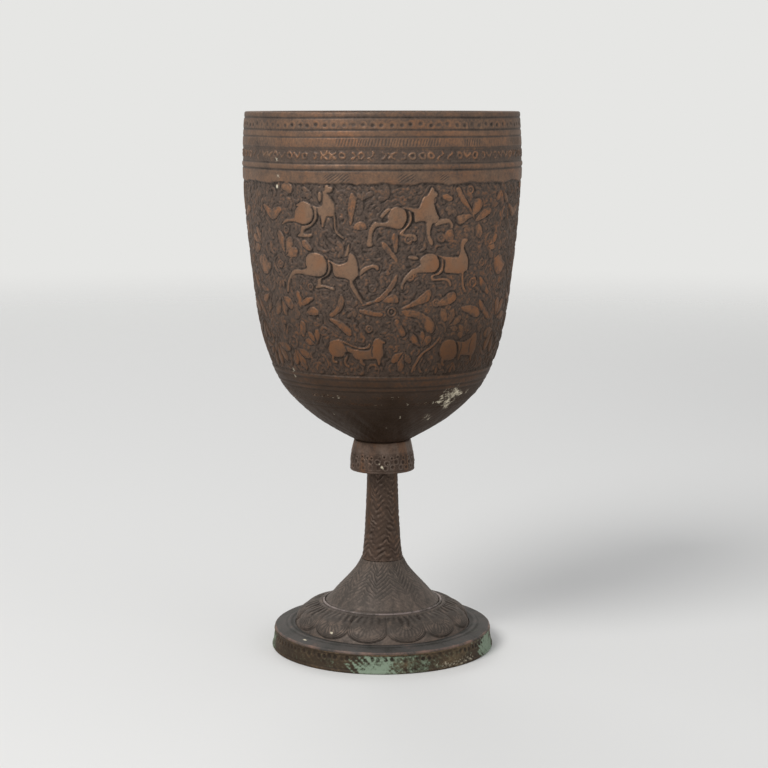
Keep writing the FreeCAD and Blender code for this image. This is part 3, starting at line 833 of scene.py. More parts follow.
def lip_bands(across, depth):
    """Height and tone of the turned and punched bands between the lip and the frieze, by depth below the rim.

    Chased lines are bell-shaped grooves. Between them run a row of punched dots under scallops, a plain
    strip, a hatched strip, a row of small crosses, curls and rings on a sunk ground, a bright ridge, and
    a plain strip with patches of slanted hatching.
    """
    depth = depth - 0.2 * ramp(depth, 0.5, 3.0) + 0.10 * ripple(5, across, 0.0, 60.0, 2)
    wander = ripple(6, across, depth, 5.0, 3)
    tone = 0.70 + 0.05 * wander + 0.06 * ripple(8, across, depth * 14.0, 40.0, 4)
    tone -= 0.07 * between(depth, 1.4, 2.0, 5.0, 5.6) + 0.12 * ramp(-depth, -1.8, -1.2)

    # Dots 3 mm apart, each under a scallop
    local, index = row_cells(across, DOT_COUNT, 11, 0.34)
    off = depth - 3.75 - np.random.default_rng(13).uniform(-0.3, 0.3, DOT_COUNT)[index]
    away = np.hypot(local, off * 1.1)
    faint = 0.5 + 0.5 * worn_at(12, across, 24.0, 3, -0.5, 0.6)
    dot = ramp(-away, -0.74, -0.34) * faint
    scallop = bump_at(away, 1.2, 0.26) * ramp(local - 0.6 * off, -0.6, 0.6) * faint
    height = 0.05 * scallop - 0.2 * dot
    tone += 0.16 * scallop - 0.56 * dot - 0.10 * bump_at(away, 1.6, 0.2) * faint

    # Upright hatching, strokes 0.95 mm apart, and slanted hatching in patches above the frieze
    patch = 0.25 + 0.75 * in_spans(across, HATCHED, 22)
    strip = between(depth, 7.9, 8.3, 10.0, 10.4)
    stroke = hatching(across, depth, 0.25, HATCH_STEP, 21, 9.0) * patch * strip
    height -= 0.10 * stroke
    tone -= 0.42 * stroke
    strip = between(depth, 18.3, 19.2, 20.6, 21.6)
    stroke = hatching(across, depth, 1.5, SLANT_STEP, 23, 7.0) * in_spans(across, SLANTED, 24) * strip
    height -= 0.12 * stroke
    tone -= 0.45 * stroke

    # Small raised motifs 3.3 mm apart on a sunk ground
    local, index = row_cells(across + 0.22 * ripple(35, across, depth * 2.0, 3.5, 2), MOTIF_COUNT, 31, 0.25)
    kind = np.random.default_rng(32).choice([0, 1, 2, 2, 3, 4], MOTIF_COUNT)[index]
    up = 13.05 - depth + 0.22 * ripple(36, across, depth * 2.0, 3.5, 2)
    cross = np.minimum(np.abs(local - up), np.abs(local + up)) * 0.72
    curl = np.abs(local - 0.8 * np.sin(1.9 * up))
    loop = np.abs(np.hypot(local, up) - 0.85)
    chevron = np.abs(up - 1.1 * np.abs(local) + 0.55) * 0.75
    away = np.choose(kind, [cross, curl, loop, chevron, loop + 1.2 * (local < -0.3)])
    motif = ramp(-away, -0.46, -0.16) * ramp(-np.hypot(local * 0.9, up), -1.7, -1.3)
    sunk = between(depth, 10.9, 11.3, 14.9, 15.3)
    bead = bump_at(nearest_punch(33, across, depth, 0.8), 0.0, 0.2)
    height += sunk * (0.24 * motif + 0.10 * bead - 0.28)
    bold = np.random.default_rng(34).uniform(0.5, 1.1, MOTIF_COUNT)[index]
    pit = bump_at(np.hypot(local, up), 0.0, 0.4) * (kind == 2)
    tone = mixed(sunk, 0.38 + 0.42 * motif * bold + 0.20 * bead + 0.12 * wander - 0.24 * pit, tone)

    # The ridge and the chased lines
    ridge = between(depth, 15.7, 16.2, 16.8, 17.2)
    broken = 0.75 + 0.25 * ramp(ripple(7, across, depth * 3.0, 18.0, 3), -0.6, 0.4)
    lines = broken * sum(strength * bump_at(depth, place, width) for place, width, strength in LIP_LINES)
    return height + 0.12 * ridge - 0.24 * lines, tone - 0.02 * ridge - 0.66 * lines


def carve_frieze(columns, levels):
    """The frieze as a relief over the whole way round, and the distance from its larger shapes alone.

    The front's leaves come again at each third of the way round, where they clear the figures.
    """
    relief = Relief(columns, levels)
    for (shapes, cuts), x, y in FIGURES:
        for outline in shapes:
            relief.drawn(flowing(outline, True) + (x, y), 1.0)
    for third in (0.0, AROUND / 3, -AROUND / 3):
        for outline in LEAF_OUTLINES:
            curve = flowing(outline, True) + (third, 0.0)
            if third == 0.0 or relief.clear(curve, 0.4):
                relief.drawn(curve, 0.94)
        for x, y, radius in RINGS:
            if third == 0.0 or relief.clear(np.array([[x + third, y]]), radius + 0.3):
                relief.ring(x + third, y, radius)
    large = relief.edge.copy()
    for sprigs in FILLINGS:
        relief.fill(*sprigs, FRIEZE_FOOT_DEPTH - FRIEZE_TOP_DEPTH - 0.9)
    for (shapes, cuts), x, y in FIGURES:
        for cut in cuts:
            relief.line(flowing(cut, False) + (x, y))
    return relief, large


def bowl_outline():
    """The outside of the bowl from its seat up to its lip: a natural cubic spline through the shares."""
    return spline(BOWL_OUTLINE_SHARES[::-1] * (BOWL_RADIUS, BOWL_HEIGHT) + (0.0, SEAT), 3000)


def upper_bowl(columns, cell):
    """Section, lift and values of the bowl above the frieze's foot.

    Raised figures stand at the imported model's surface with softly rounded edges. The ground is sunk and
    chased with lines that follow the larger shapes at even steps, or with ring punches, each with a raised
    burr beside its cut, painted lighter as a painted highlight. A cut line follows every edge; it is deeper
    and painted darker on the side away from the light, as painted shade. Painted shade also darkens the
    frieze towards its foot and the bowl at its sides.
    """
    outline = bowl_outline()
    foot = RIM - FRIEZE_FOOT_DEPTH
    lip = outline[-1]
    levels = np.linspace(foot, lip[1], int(round((lip[1] - foot) / cell)) + 1)
    wall = np.c_[np.interp(levels, outline[:, 1], outline[:, 0]), levels]
    half = BOWL_WALL / 2
    round_lip = arc((lip[0] - half, RIM - half), half, 0.0, math.pi / 2, 5)[1:]

    relief, large = carve_frieze(columns, levels - foot)
    across = around(columns)
    up = (levels - foot)[:, None]
    depth = RIM - levels[:, None]
    ground_depth = bpy.context.scene.goblet_sizes.ground_depth / MM
    wander = ripple(52, across, up, 2.6, 4)
    mottle = ripple(57, across, up, 7.0, 4)
    fine = ripple(60, across, up, 1.1, 3)
    lower = 1.0 - relief.rank
    leaf = ramp(lower, 0.01, 0.04)
    small = ramp(lower, 0.07, 0.16) * ramp(up, 8.0, 24.0)
    edge = relief.edge + (0.16 * wander + 0.07 * fine) * leaf
    climb, run = np.gradient(edge, relief.rise, relief.step)
    # The side of each edge away from the light: the cut there is deepened and painted darker, as painted
    # shade
    shaded_side = 0.5 + 0.5 * np.clip(0.8 * run - 0.7 * climb, -1.0, 1.0)
    soft = 0.10 + 1.1 * lower
    inside = ramp(-edge, -0.02 - soft, soft - 0.02)

    flow = (large + 0.9 * ripple(55, across, up, 8.0, 3)) / 1.45 % 1.0
    punch = nearest_punch(51, across, up, 1.7)
    patch = ramp(ripple(56, across, up, 11.0, 2), -0.5, 0.1)
    # The burr beside each cut is raised, and painted lighter as a painted highlight
    burr_and_highlight = mixed(patch, bump_at(flow, 0.34, 0.15), bump_at(punch, 0.5, 0.17))
    nick = mixed(patch, bump_at(flow, 0.66, 0.15), bump_at(punch, 0.0, 0.28))
    outline_cut_and_shade = bump_at(edge, 0.36, 0.2) * (0.45 + 0.55 * shaded_side) * ramp(relief.rank, 0.6, 0.9)
    vein = bump_at(edge, -0.5, 0.13) * leaf
    dome = 0.09 * ramp(-edge, 0.0, 1.6) - 0.07 - lower * ground_depth
    ground = -ground_depth + 0.10 * burr_and_highlight - 0.10 * nick - 0.14 * outline_cut_and_shade + 0.07 * wander
    height = mixed(inside, dome - 0.06 * vein, ground) - 0.20 * relief.cut

    body = 0.83 - 0.4 * lower - 0.15 * small + 0.06 * ramp(-edge, 0.2, 1.0) + 0.05 * mottle + 0.06 * fine
    body += 0.12 * leaf * ripple(58, across, up, 3.2, 3) - 0.18 * vein
    field = 0.39 + 0.18 * burr_and_highlight - 0.20 * nick + 0.06 * fine + 0.08 * mottle - 0.44 * outline_cut_and_shade
    field += 0.17 * ripple(59, across, up, 3.6, 4)
    crisp = 1.0 - 0.6 * leaf * ramp(ripple(46, across, up, 5.0, 3), 0.0, 0.8)
    tone = mixed(inside * crisp, body, field) - 0.66 * relief.cut
    tone += 0.07 * between(across, 8.0, 24.0, 44.0, 54.0) * ramp(up, 4.0, 20.0)
    copper = 0.10 + 0.45 * leaf + 0.6 * lower * inside - 0.30 * small * inside + 0.20 * mottle
    copper += 0.7 * ramp(-up, -34.0, -4.0) + 0.30 * between(across, 6.0, 26.0, 70.0, 100.0)

    # The bands under the lip take over above a wavering border, and a line is cut along it and along the foot
    bands_height, bands_tone = lip_bands(across, depth)
    border = FRIEZE_TOP_DEPTH + 0.3 + 0.4 * ripple(53, across, 0.0, 11.0, 3)
    in_bands = ramp(border - depth, -0.2, 0.25)
    line = 0.5 * bump_at(depth, border + 0.45, 0.3) + 0.5 * bump_at(up, 0.35, 0.3)
    height = (mixed(in_bands, bands_height, height) - 0.16 * line) * ramp(up, -0.05, 0.3)
    # Soft dents of the hammer, as a slow ripple that fades out at both ends
    height += 0.10 * ripple(54, across, up, 30.0, 2) * ramp(up, 0.0, 6.0) * ramp(depth, 0.4, 4.0)

    # Painted shade: darker towards the frieze's foot, most on the lower right, and at both sides of the bowl
    painted_shade = 0.52 * ramp(-up, -42.0, 2.0) + 0.24 * ramp(-up, -24.0, -6.0) * ramp(across, 12.0, 30.0)
    painted_shade = painted_shade + 0.30 * ramp(across, 44.0, 58.0) + 0.26 * ramp(-across, 44.0, 58.0) * ramp(-up, -48.0, -16.0)
    painted_shade = painted_shade + 0.24 * ramp(-across, 52.0, 62.0) * ramp(-depth, -22.0, -20.0)
    values = {
        "relief": mixed(in_bands, bands_tone, tone) - 0.5 * line, "copper": mixed(in_bands, 0.35, copper),
        "grime": painted_shade, "chalk": spots(BOWL_CHALK, across, up),
    }
    lip_rows = ((0, len(round_lip)), (0, 0))
    values = {key: np.pad(array, lip_rows, mode="edge") for key, array in values.items()}
    return np.concatenate([wall, round_lip]), np.pad(height, lip_rows), values


def lower_bowl(columns, cell):
    """Section, lift and values of the bowl below the frieze, down to its seat on the knop.

    A plain strip between chased lines, a row of small punched rings, a dotted line, and a dark plain bottom.
    Painted shade darkens the whole base, more towards the seat and at the sides, and pale specks on the
    rings are painted glints.
    """
    outline = bowl_outline()
    foot = RIM - FRIEZE_FOOT_DEPTH
    edge = np.r_[np.interp(foot, outline[:, 1], outline[:, 0]), foot]
    section = even(np.concatenate([outline[outline[:, 1] < foot], edge[None]]), cell)
    across = around(columns)
    depth = (RIM - section[:, 1])[:, None]
    run = lengths(section)
    run = (run[-1] - run)[:, None]

    def run_at(place):
        """Length down the section, from the frieze's foot to a depth below the rim."""
        return float(np.interp(place, depth[::-1, 0], run[::-1, 0]))

    lines = grooves(run, [(run_at(place), strength) for place, strength in BASE_LINES], 0.32)
    lines = lines * ramp(run, -0.05, 0.4)
    height = 0.07 * ripple(61, across, run, 9.0, 2) * ramp(run, 0.0, 5.0) * ramp(depth, 90.0, 96.0)
    height -= 0.2 * lines
    tone = 0.62 + 0.08 * ripple(66, across, run * 3.0, 9.0, 4) + 0.10 * ripple(68, across, run, 1.6, 3)
    tone -= 0.22 * ramp(depth, 87.6, 88.4) + 0.55 * lines
    glint_patches = ramp(ripple(65, across, run, 5.0, 3), -0.4, 0.6)
    chalk = spots(BASE_CHALK, across, depth)
    for place, count, size, seed in BASE_PUNCHES:
        narrow = np.interp(RIM - place, outline[:, 1], outline[:, 0]) / ARC_RADIUS
        away = np.hypot(row_cells(across, count, seed, 0.2)[0] * narrow, run - run_at(place))
        faint = 0.4 + 0.6 * worn_at(seed, across, 30.0, 2, -0.5, 0.5)
        ring = bump_at(away, size, 0.2) * faint
        pit = ramp(-away, -size * 0.7, -size * 0.25) * faint
        height += 0.10 * ring - 0.16 * pit
        tone += 0.42 * ring - 0.3 * pit
        # Pale specks on the raised rings, in patches: painted glints
        chalk += 0.76 * ring * glint_patches
    rough = nearest_punch(62, across, run, 1.1)
    field = ramp(depth, 88.0, 88.6) * (0.7 + 0.3 * ramp(-depth, -94.6, -93.8))
    height -= 0.10 * field * bump_at(rough, 0.0, 0.3)
    tone += field * (0.10 * bump_at(rough, 0.45, 0.14) - 0.14 * bump_at(rough, 0.0, 0.34))
    smear = ripple(67, across + 0.8 * run, run * 2.0, 4.0, 4)
    # Painted shade: the whole base darker, more towards the seat and at the sides
    grime = 0.62 + 0.16 * ramp(depth, 83.0, 85.0) + 0.28 * ramp(depth, 86.0, 96.0)
    values = {
        "relief": tone, "copper": 0.9, "grime": grime + 0.22 * ramp(np.abs(across), 34.0, 56.0),
        "chalk": np.minimum(chalk, 0.86) * (0.78 + 0.30 * smear),
    }
    return section, height * ramp(run, -0.05, 0.3), values


def bowl_lining(material):
    """The inside of the bowl: the outline moved in by the wall, with a flat floor and a hammer's dents."""
    columns, cell = LINING_GRID
    outline = bowl_outline()
    inner = (outline - side_of(outline) * BOWL_WALL)[::-1]
    floor = SEAT + BOWL_WALL
    half = BOWL_WALL / 2
    round_lip = arc((outline[-1][0] - half, RIM - half), half, math.pi / 2, math.pi, 5)
    inner = inner[(inner[:, 1] > floor + 0.4) & (inner[:, 1] < RIM - half - 0.3)]
    front = np.concatenate([round_lip, inner, [(inner[-1][0] - 0.8, floor), (ROD_HOLE, floor)]])
    front = even(front, cell)
    across = around(columns)
    run = np.arange(len(front))[:, None] * cell
    fade = ramp(run, 1.0, 5.0) * ramp(run[::-1], 6.0, 14.0)
    lift = -0.12 * fade * bump_at(nearest_punch(71, across, run, 5.5), 0.0, 2.2)
    tone = 0.55 + 0.14 * ripple(72, across, run, 25.0, 3)
    values = {"relief": tone, "grime": 0.25 + 0.4 * ramp(run, 60.0, 120.0)}
    back = behind(front, 0.45, 4.0)
    skin("bowl_lining", front, back, columns, lift, values, material, ["bowl"])


def bowl_surface(worked, columns, cell):
    """A worked part of the bowl as points, normals and values, and its section moved into the wall."""
    section, lift, values = worked(columns, cell)
    grid = turned(section, columns, lift)
    values = {key: np.broadcast_to(array, grid.shape[:2]) for key, array in values.items()}
    return grid, grid_normals(grid, False), values, section - side_of(section) * (BOWL_WALL * HIDDEN_SHARE)


def bowl_band(name, surface, low, high, back_rows, material):
    """A closed band between two rows of a surface of the bowl, with a back of a few rows inside the wall."""
    grid, normals, values, hidden = surface
    columns = grid.shape[1]
    front = slice(low, high + 1)
    rows = np.linspace(high, low, back_rows).astype(int)
    values = {key: array[front] for key, array in values.items()}
    values = with_back(values, (high + 1 - low, columns), back_rows)
    points = np.concatenate([grid[front], turned(hidden[rows], columns)])
    normals = np.concatenate([normals[front], -normals[rows]])
    write_mesh(name, points, normals, values, material, ["bowl"])


def bowl_pieces(material):
    """The bowl's outside: the frieze and the lip, cut into bands that share their edge rows, and the base."""
    cell = bpy.context.scene.goblet_sizes.cell / MM
    columns = int(round(AROUND / cell / 4)) * 4
    surface = bowl_surface(upper_bowl, columns, cell)
    rows = len(surface[0])
    count = math.ceil(rows * columns * 2 / BAND_TRIANGLES)
    stops = np.linspace(0, rows - 1, count + 1).astype(int)
    for index in range(count):
        bowl_band(f"bowl_band_{index + 1}", surface, stops[index], stops[index + 1], 3, material)
    columns = int(round(columns * BASE_COLUMNS_SHARE / 4)) * 4
    surface = bowl_surface(lower_bowl, columns, cell * BASE_CELL_SHARE)
    bowl_band("bowl_base", surface, 0, len(surface[0]) - 1, 8, material)


# The knop, the stem and the trumpet foot


def knop_piece(material):
    """The knop: a bell with a round mouth; its lower part is matted with rings and dots between two lines."""
    columns, cell = KNOP_GRID
    top, mouth = KNOP_HIGH[2], KNOP_HIGH[2] - KNOP_HEIGHT
    outer, hollow, web = KNOP_HIGH[0], KNOP_HIGH[0] - KNOP_WALL, top - KNOP_WEB
    bell = [(outer - 0.02, mouth + 0.35), (outer - 0.26, mouth + 4.6), (KNOP_TOP_RADIUS, top - 0.7)]
    rim = arc((outer - 0.37, mouth + 0.35), 0.35, -math.pi / 2, 0.0, 6)
    shoulder = arc((KNOP_TOP_RADIUS - 0.65, top - 0.7), 0.65, 0.0, math.pi / 2, 6)[1:]
    front = even(np.concatenate([rim, spline(bell, 60)[1:-1], shoulder]), cell)
    back = np.array([
        (KNOP_TOP_RADIUS - 1.6, top - 0.1), (5.3, top - 0.3), (5.2, web), (hollow - 1.6, web),
        (hollow - 0.7, web - 1.0), (hollow - 0.1, mouth + 3.0), (hollow, mouth + 0.4),
        (hollow + 0.2, mouth + 0.05),
    ])
    across = around(columns)
    real = across * outer / ARC_RADIUS
    level = front[:, 1:] - mouth
    worn = ripple(81, across, level * 3.0, 40.0, 2)
    field = between(level, 1.0, 1.5, 5.4, 6.6)
    grit = bump_at(nearest_punch(86, across, level * ARC_RADIUS / outer, 2.6), 0.0, 0.7)
    lines = grooves(level, KNOP_LINES, 0.22)
    height = 0.05 * ripple(82, across, level * 4.0, 30.0, 2) - 0.08 * field * (1.0 + grit) - 0.12 * lines
    tone = 0.70 + 0.12 * worn - field * (0.20 - 0.12 * worn + 0.34 * grit) - 0.4 * lines * (0.7 + 0.3 * worn)
    for place, count, size, seed in KNOP_PUNCHES:
        local, drop, stray = punched_row(real, TAU * outer, count, seed, 0.45)
        away = np.hypot(local, (level - place - drop) * (1.0 + 0.5 * stray))
        ring = bump_at(away, size, 0.22) * (0.9 + stray)
        pit = ramp(-away, -size * 0.7, -size * 0.2) * (0.9 + stray)
        height += 0.12 * ring - 0.18 * pit
        tone += 0.50 * ring - 0.36 * pit
    fade = ramp(level, -0.05, 0.3) * ramp(top - front[:, 1:], 0.2, 0.7)
    # Right under the bowl the knop's top takes the grime colour: a painted shadow of the bowl
    upper = 0.4 * ramp(level, KNOP_HEIGHT - 1.6, KNOP_HEIGHT - 0.2)
    # The knop's pale spots include a painted highlight at its front
    values = {
        "relief": tone, "copper": 0.15 + 0.8 * ramp(ripple(87, across + 60.0, level, 50.0, 3), 0.0, 0.8),
        "grime": 0.08 + 0.32 * ramp(-level, -7.0, -5.8) + upper, "chalk": spots(KNOP_HIGHLIGHT_AND_CHALK, real, level),
    }
    skin("knop_bell", front, back, columns, height * fade, values, material, ["knop"])


def chevrons(across, level, turns, offset, pitch, slope, seed):
    """Phase of a herringbone cut, its wobble and its lean.

    The strokes slant, and turn over at even steps round the axis. Their phase is the level over the pitch
    plus a triangle wave of the place round the axis.
    """
    wobble = ripple(seed, across, level * 2.0, 34.0, 3)
    stray = ripple(seed + 200, across, level * 4.0, 20.0, 2)
    turn = ((across / AROUND - offset / 360.0) * turns + 0.05 * wobble + 0.03 * stray) % 1.0
    lean = np.abs(turn - 0.5) * 2.0
    phase = (level / pitch + slope * lean + 0.2 * wobble + 0.2 * stray) % 1.0
    return phase, wobble, lean


def stem_piece(material):
    """The stem: its radius is a sum of two powers of the share down it, and it is cut with herringbone."""
    columns, cell = STEM_GRID
    low, high = STEM_LOW[2], STEM_HIGH[2]
    share = np.linspace(1.0, 0.0, int((high - low) / cell))
    radius = STEM_TOP_RADIUS + (STEM_HIGH[0] - STEM_TOP_RADIUS) * (0.82 * share ** 2.1 + 0.18 * share ** 12)
    front = np.c_[radius, high - (high - low) * share]
    back = np.c_[radius - 0.85, front[:, 1]][::-1][::20]
    across = around(columns)
    level = front[:, 1:]
    pitch = bpy.context.scene.goblet_sizes.stem_chevron / MM
    phase, wobble = chevrons(across, level, 6, -20.0, pitch, 1.1, 91)[:2]
    rag = ripple(93, across, level * 5.0, 16.0, 4)
    worn = 0.25 + 0.75 * ramp(ripple(92, across, level * 6.0, 44.0, 3) + 0.4 * rag, -0.5, 0.5)
    smooth = ramp(-np.abs((across * 3 / AROUND + 0.03 * wobble) % 1.0 - 0.5), -0.15, -0.07)
    smooth = smooth * ramp(level, low + 5.0, low + 13.0)
    # Towards the knop the strokes fade out, as in the knop's shadow
    bare = (1.0 - ramp(level, high - 5.5, high - 3.2) * 0.7) * (1.0 - 0.9 * smooth)
    # The burr beside each stroke is raised, and painted lighter as a painted highlight
    burr_and_highlight = bump_at(phase, 0.28 + 0.06 * rag, 0.17) * worn * bare
    cut = bump_at(phase, 0.70 + 0.06 * rag, 0.18) * worn * bare
    lines = grooves(level, [(low + 0.5, 0.15), (high - 4.3, 1.0)], 0.25)
    height = 0.09 * burr_and_highlight - 0.24 * cut - 0.05 - 0.1 * lines
    # Right under the knop the grime value rises: a painted shadow of the knop
    values = {
        "relief": 0.46 + 0.36 * burr_and_highlight - 0.30 * cut + 0.12 * rag + 0.06 * wobble + 0.14 * smooth - 0.3 * lines,
        "copper": 0.16 + 0.95 * smooth + 0.3 * wobble + 0.3 * (1.0 - worn),
        "grime": 0.36 + 0.24 * smooth + 0.65 * ramp(level, high - 3.8, high - 0.8),
    }
    skin("stem_tube", front, back, columns, height, values, material, ["stem"])


def cone_piece(material):
    """The trumpet foot: a spline through the flare, with herringbone that is worn away towards the foot."""
    columns, cell = CONE_GRID
    low, high = CONE_LOW[2], STEM_LOW[2]
    span = (CONE_HIGH[0] - CONE_TOP_RADIUS, high - low)
    front = even(spline(CONE_FLARE_SHARES[::-1] * span + (CONE_TOP_RADIUS, low), 400), cell)
    across = around(columns)
    run = np.arange(len(front))[:, None] * cell
    rise = (front[:, 1:] - low) / (high - low)
    pitch = bpy.context.scene.goblet_sizes.cone_chevron / MM
    phase, wobble, lean = chevrons(across, run, 9, -6.0, pitch, 2.4, 95)
    rag = ripple(94, across, run * 3.0, 9.0, 4)
    stroke = bump_at(phase, 0.62 + 0.06 * rag, 0.17)
    # The burr beside each stroke is raised, and painted lighter as a painted highlight
    burr_and_highlight = bump_at(phase, 0.3 + 0.06 * rag, 0.15)
    worn = ramp(rise + 0.12 * rag, 0.14, 0.5) * (0.25 + 0.75 * ramp(wobble + 0.6 * rag, -0.6, 0.5))
    worn = worn * (1.0 - ramp(rise, 0.93, 0.99))
    rib = grooves(lean, [(0.0, 1.0), (1.0, 1.0)], 0.06)
    height = (0.04 * burr_and_highlight - 0.14 * stroke - 0.03 * rib) * worn + 0.05 * wobble + 0.02 * rag
    # Solder fills the corner by the bead
    height = height * ramp(run, -0.1, 0.5) + 0.35 * bump_at(run, 0.7, 0.5)
    values = {
        "relief": 0.60 + (0.14 * burr_and_highlight - 0.26 * stroke) * worn - 0.08 * wobble + 0.12 * rag,
        "copper": 0.5 + 0.3 * ramp(rise, 0.7, 0.98), "grime": 0.12 + 0.20 * ramp(rise, 0.72, 0.99),
        "chalk": 0.16 * ramp(wobble, 0.2, 0.9),
    }
    back = behind(front, 1.0, 2.5)
    skin("trumpet", front, back, columns, height, values, material, ["foot_cone"])


def bead_piece(material):
    """The bead wire: a round wire bent into a ring, pinched by a hammer at uneven steps and rubbed bright."""
    columns, sides = BEAD_GRID
    radius = (BEAD_HIGH[2] - BEAD_LOW[2]) / 2
    loop = arc((BEAD_HIGH[0] - radius, BEAD_LOW[2] + radius), radius, 0.0, TAU, sides + 1)[:-1]
    across = around(columns)
    pinch = 0.05 * ripple(97, across, 0.0, 6.0, 3)
    rubbed = worn_at(98, across, 40.0, 3, -0.6, 0.5)
    values = {"relief": 0.55 + 0.45 * rubbed + 3.0 * pinch, "chalk": 0.02 + 0.14 * rubbed + 1.2 * pinch}
    front, back = loop[:-2], loop[-2:]
    skin("bead_line", front, back, columns, pinch - 0.03, values, material, ["bead_wire"])


# The ring of lotus petals


def petal_piece(material):
    """The petal ring: a dome with a ring of lotus petals that touch along their sides.

    Down to the share TIP_START of the dome a petal's edge is the valley to its neighbour, and below it an
    ellipse. Its swell is the rise there times the root of one minus the square of the place across it. Three
    cut lines follow its round tip, strokes fan out inside them, and ragged flutes run down from the bead.
    """
    columns, cell = PETAL_GRID
    sizes = bpy.context.scene.goblet_sizes
    count = sizes.petal_count
    foot, crest = RING_LOW[2], RING_LOW[2] + RING_RISE
    neck, lip = CONE_HIGH[0], CONE_HIGH[0] + RING_LIP_WIDTH
    dome = spline(RING_DOME_SHARES[::-1] * (RING_FOOT_RADIUS - lip, RING_RISE) + (lip, foot), 500)
    front = even(np.concatenate([dome, [(lip - 0.5, crest), (neck - 0.6, crest)]]), cell)
    back = np.array([
        (neck - 2.8, crest), (neck - 2.8, crest - 1.2), (lip, crest - 1.3), (lip + 3.6, crest - 2.6),
        (lip + 6.6, crest - 5.0), (RING_FOOT_RADIUS - 1.2, foot),
    ])
    across = around(columns)
    run = lengths(front)[:, None]
    length = float(run[np.searchsorted(-front[:, 0], -lip), 0])
    place = (length - run) / length
    turn = (across / AROUND - sizes.petal_turn / 360.0) * count % 1.0 * 2.0 - 1.0
    side = turn * front[:, :1] * math.pi / count
    half = front[:, :1] * math.tan(math.pi / count)
    rag = ripple(102, across, run * 2.0, 7.0, 4)
    wear = 0.45 + 0.55 * ramp(ripple(101, across, run * 2.0, 30.0, 3), -0.7, 0.4)
    tip = np.hypot(side / half, np.maximum(place - TIP_START, 0.0) / TIP_LENGTH)
    outward = np.where(place > TIP_START, tip, np.abs(side) / half) / 0.985
    rise = np.interp(place, *PETAL_RISE_SHARES.T)
    petal = ramp(1.0 - outward, -0.02, 0.05)
    swell = sizes.petal_rise / MM * rise * np.sqrt(np.clip(1.0 - outward ** 2, 0.0, 1.0))

    lower = ramp(place, 0.40, 0.58)
    stray = outward + 0.03 * rag
    cuts = (bump_at(stray, 0.92, 0.035) + grooves(stray, [(0.80, 0.9), (0.69, 0.6)], 0.03)) * lower
    # Raised lines beside the cuts, and beside the fan's strokes, are painted lighter as painted highlights
    burr_and_highlight = grooves(stray, [(0.86, 1.0), (0.745, 1.0), (0.98, 1.0)], 0.03) * lower
    valley = bump_at(outward, 1.02, 0.04) * ramp(place, 0.25, 0.5)
    fan_y = (place - 0.36) * length
    fan_turn = (np.arctan2(side, np.maximum(fan_y, 0.01)) + 0.08 * rag) * 3.6
    inner = ramp(0.66 - stray, 0.0, 0.08) * ramp(fan_y, 1.0, 2.0)
    fan = bump_at((fan_turn + 0.5) % 1.0, 0.5, 0.2) * inner
    fan_burr_and_highlight = bump_at(fan_turn % 1.0, 0.5, 0.2) * inner
    bow = bump_at(np.hypot(side, fan_y - 0.5) + 0.15 * rag, 2.4, 0.24) * ramp(fan_y, 0.3, 1.2)
    flute_share = turn * 2.9 * (1.0 - 0.5 * place) + 0.14 * rag
    reach = 0.47 + 0.10 * rag - 0.14 * np.abs(turn)
    cluster = 0.38 + 0.62 * worn_at(103, across, 30.0, 3, -0.5, 0.3)
    under_bead = ramp(place, 0.04, 0.10) * ramp(reach - place, -0.04, 0.12) * cluster
    flute = bump_at(flute_share % 1.0, 0.5, 0.22) * under_bead
    # Between the flutes a painted highlight runs along each crest
    flute_crest_highlight = bump_at((flute_share + 0.5) % 1.0, 0.5, 0.18) * under_bead

    height = swell * petal - 0.10 * (1.0 - petal) + 0.04 * burr_and_highlight
    height -= wear * (0.14 * cuts + 0.12 * valley + 0.10 * fan + 0.10 * bow + 0.34 * flute)
    tone = 0.51 + 0.15 * rag + 0.12 * (1.0 - petal) * (1.0 + ramp(place, 0.55, 0.85))
    tone += 0.10 * petal * ramp(place, 0.3, 0.6) + 0.22 * flute_crest_highlight - 0.70 * flute - 0.10 * under_bead
    tone -= wear * (0.40 * cuts + 0.36 * valley + 0.26 * fan + 0.24 * bow - 0.18 * burr_and_highlight - 0.16 * fan_burr_and_highlight)
    down = place * length
    fillet = 0.36 * ramp(-down, -1.5, -0.2) * ramp(down, -0.5, -0.2)
    height = height * ramp(length - run, -0.3, 0.6) * ramp(run, -0.2, 0.5) + fillet
    # The fillet by the bead is painted a little lighter: painted light against the shade of the crevice
    # beside it
    values = {
        "relief": tone + 0.06 * ramp(fillet, 0.1, 0.4), "copper": 0.5 + 0.4 * rag, "grime": 0.20,
        "chalk": spots(PETAL_CHALK, across, place, 0.035),
    }
    skin("lotus_petals", front, back, columns, height, values, material, ["petal_ring"])


# The flange and the band


def soft_corners(points, radius):
    """An open line of straight runs, whose corners are rounded by a curve that leaves each run a radius from
    its corner."""
    points = np.asarray(points, float)
    rounded = [points[:1]]
    share = np.linspace(0.0, 1.0, 5)[:, None]
    for before, corner, after in zip(points[:-2], points[1:-1], points[2:]):
        start = corner + (before - corner) * min(0.5, radius / np.linalg.norm(before - corner))
        end = corner + (after - corner) * min(0.5, radius / np.linalg.norm(after - corner))
        rounded.append((1 - share) ** 2 * start + 2 * share * (1 - share) * corner + share ** 2 * end)
    return np.concatenate([*rounded, points[-1:]])


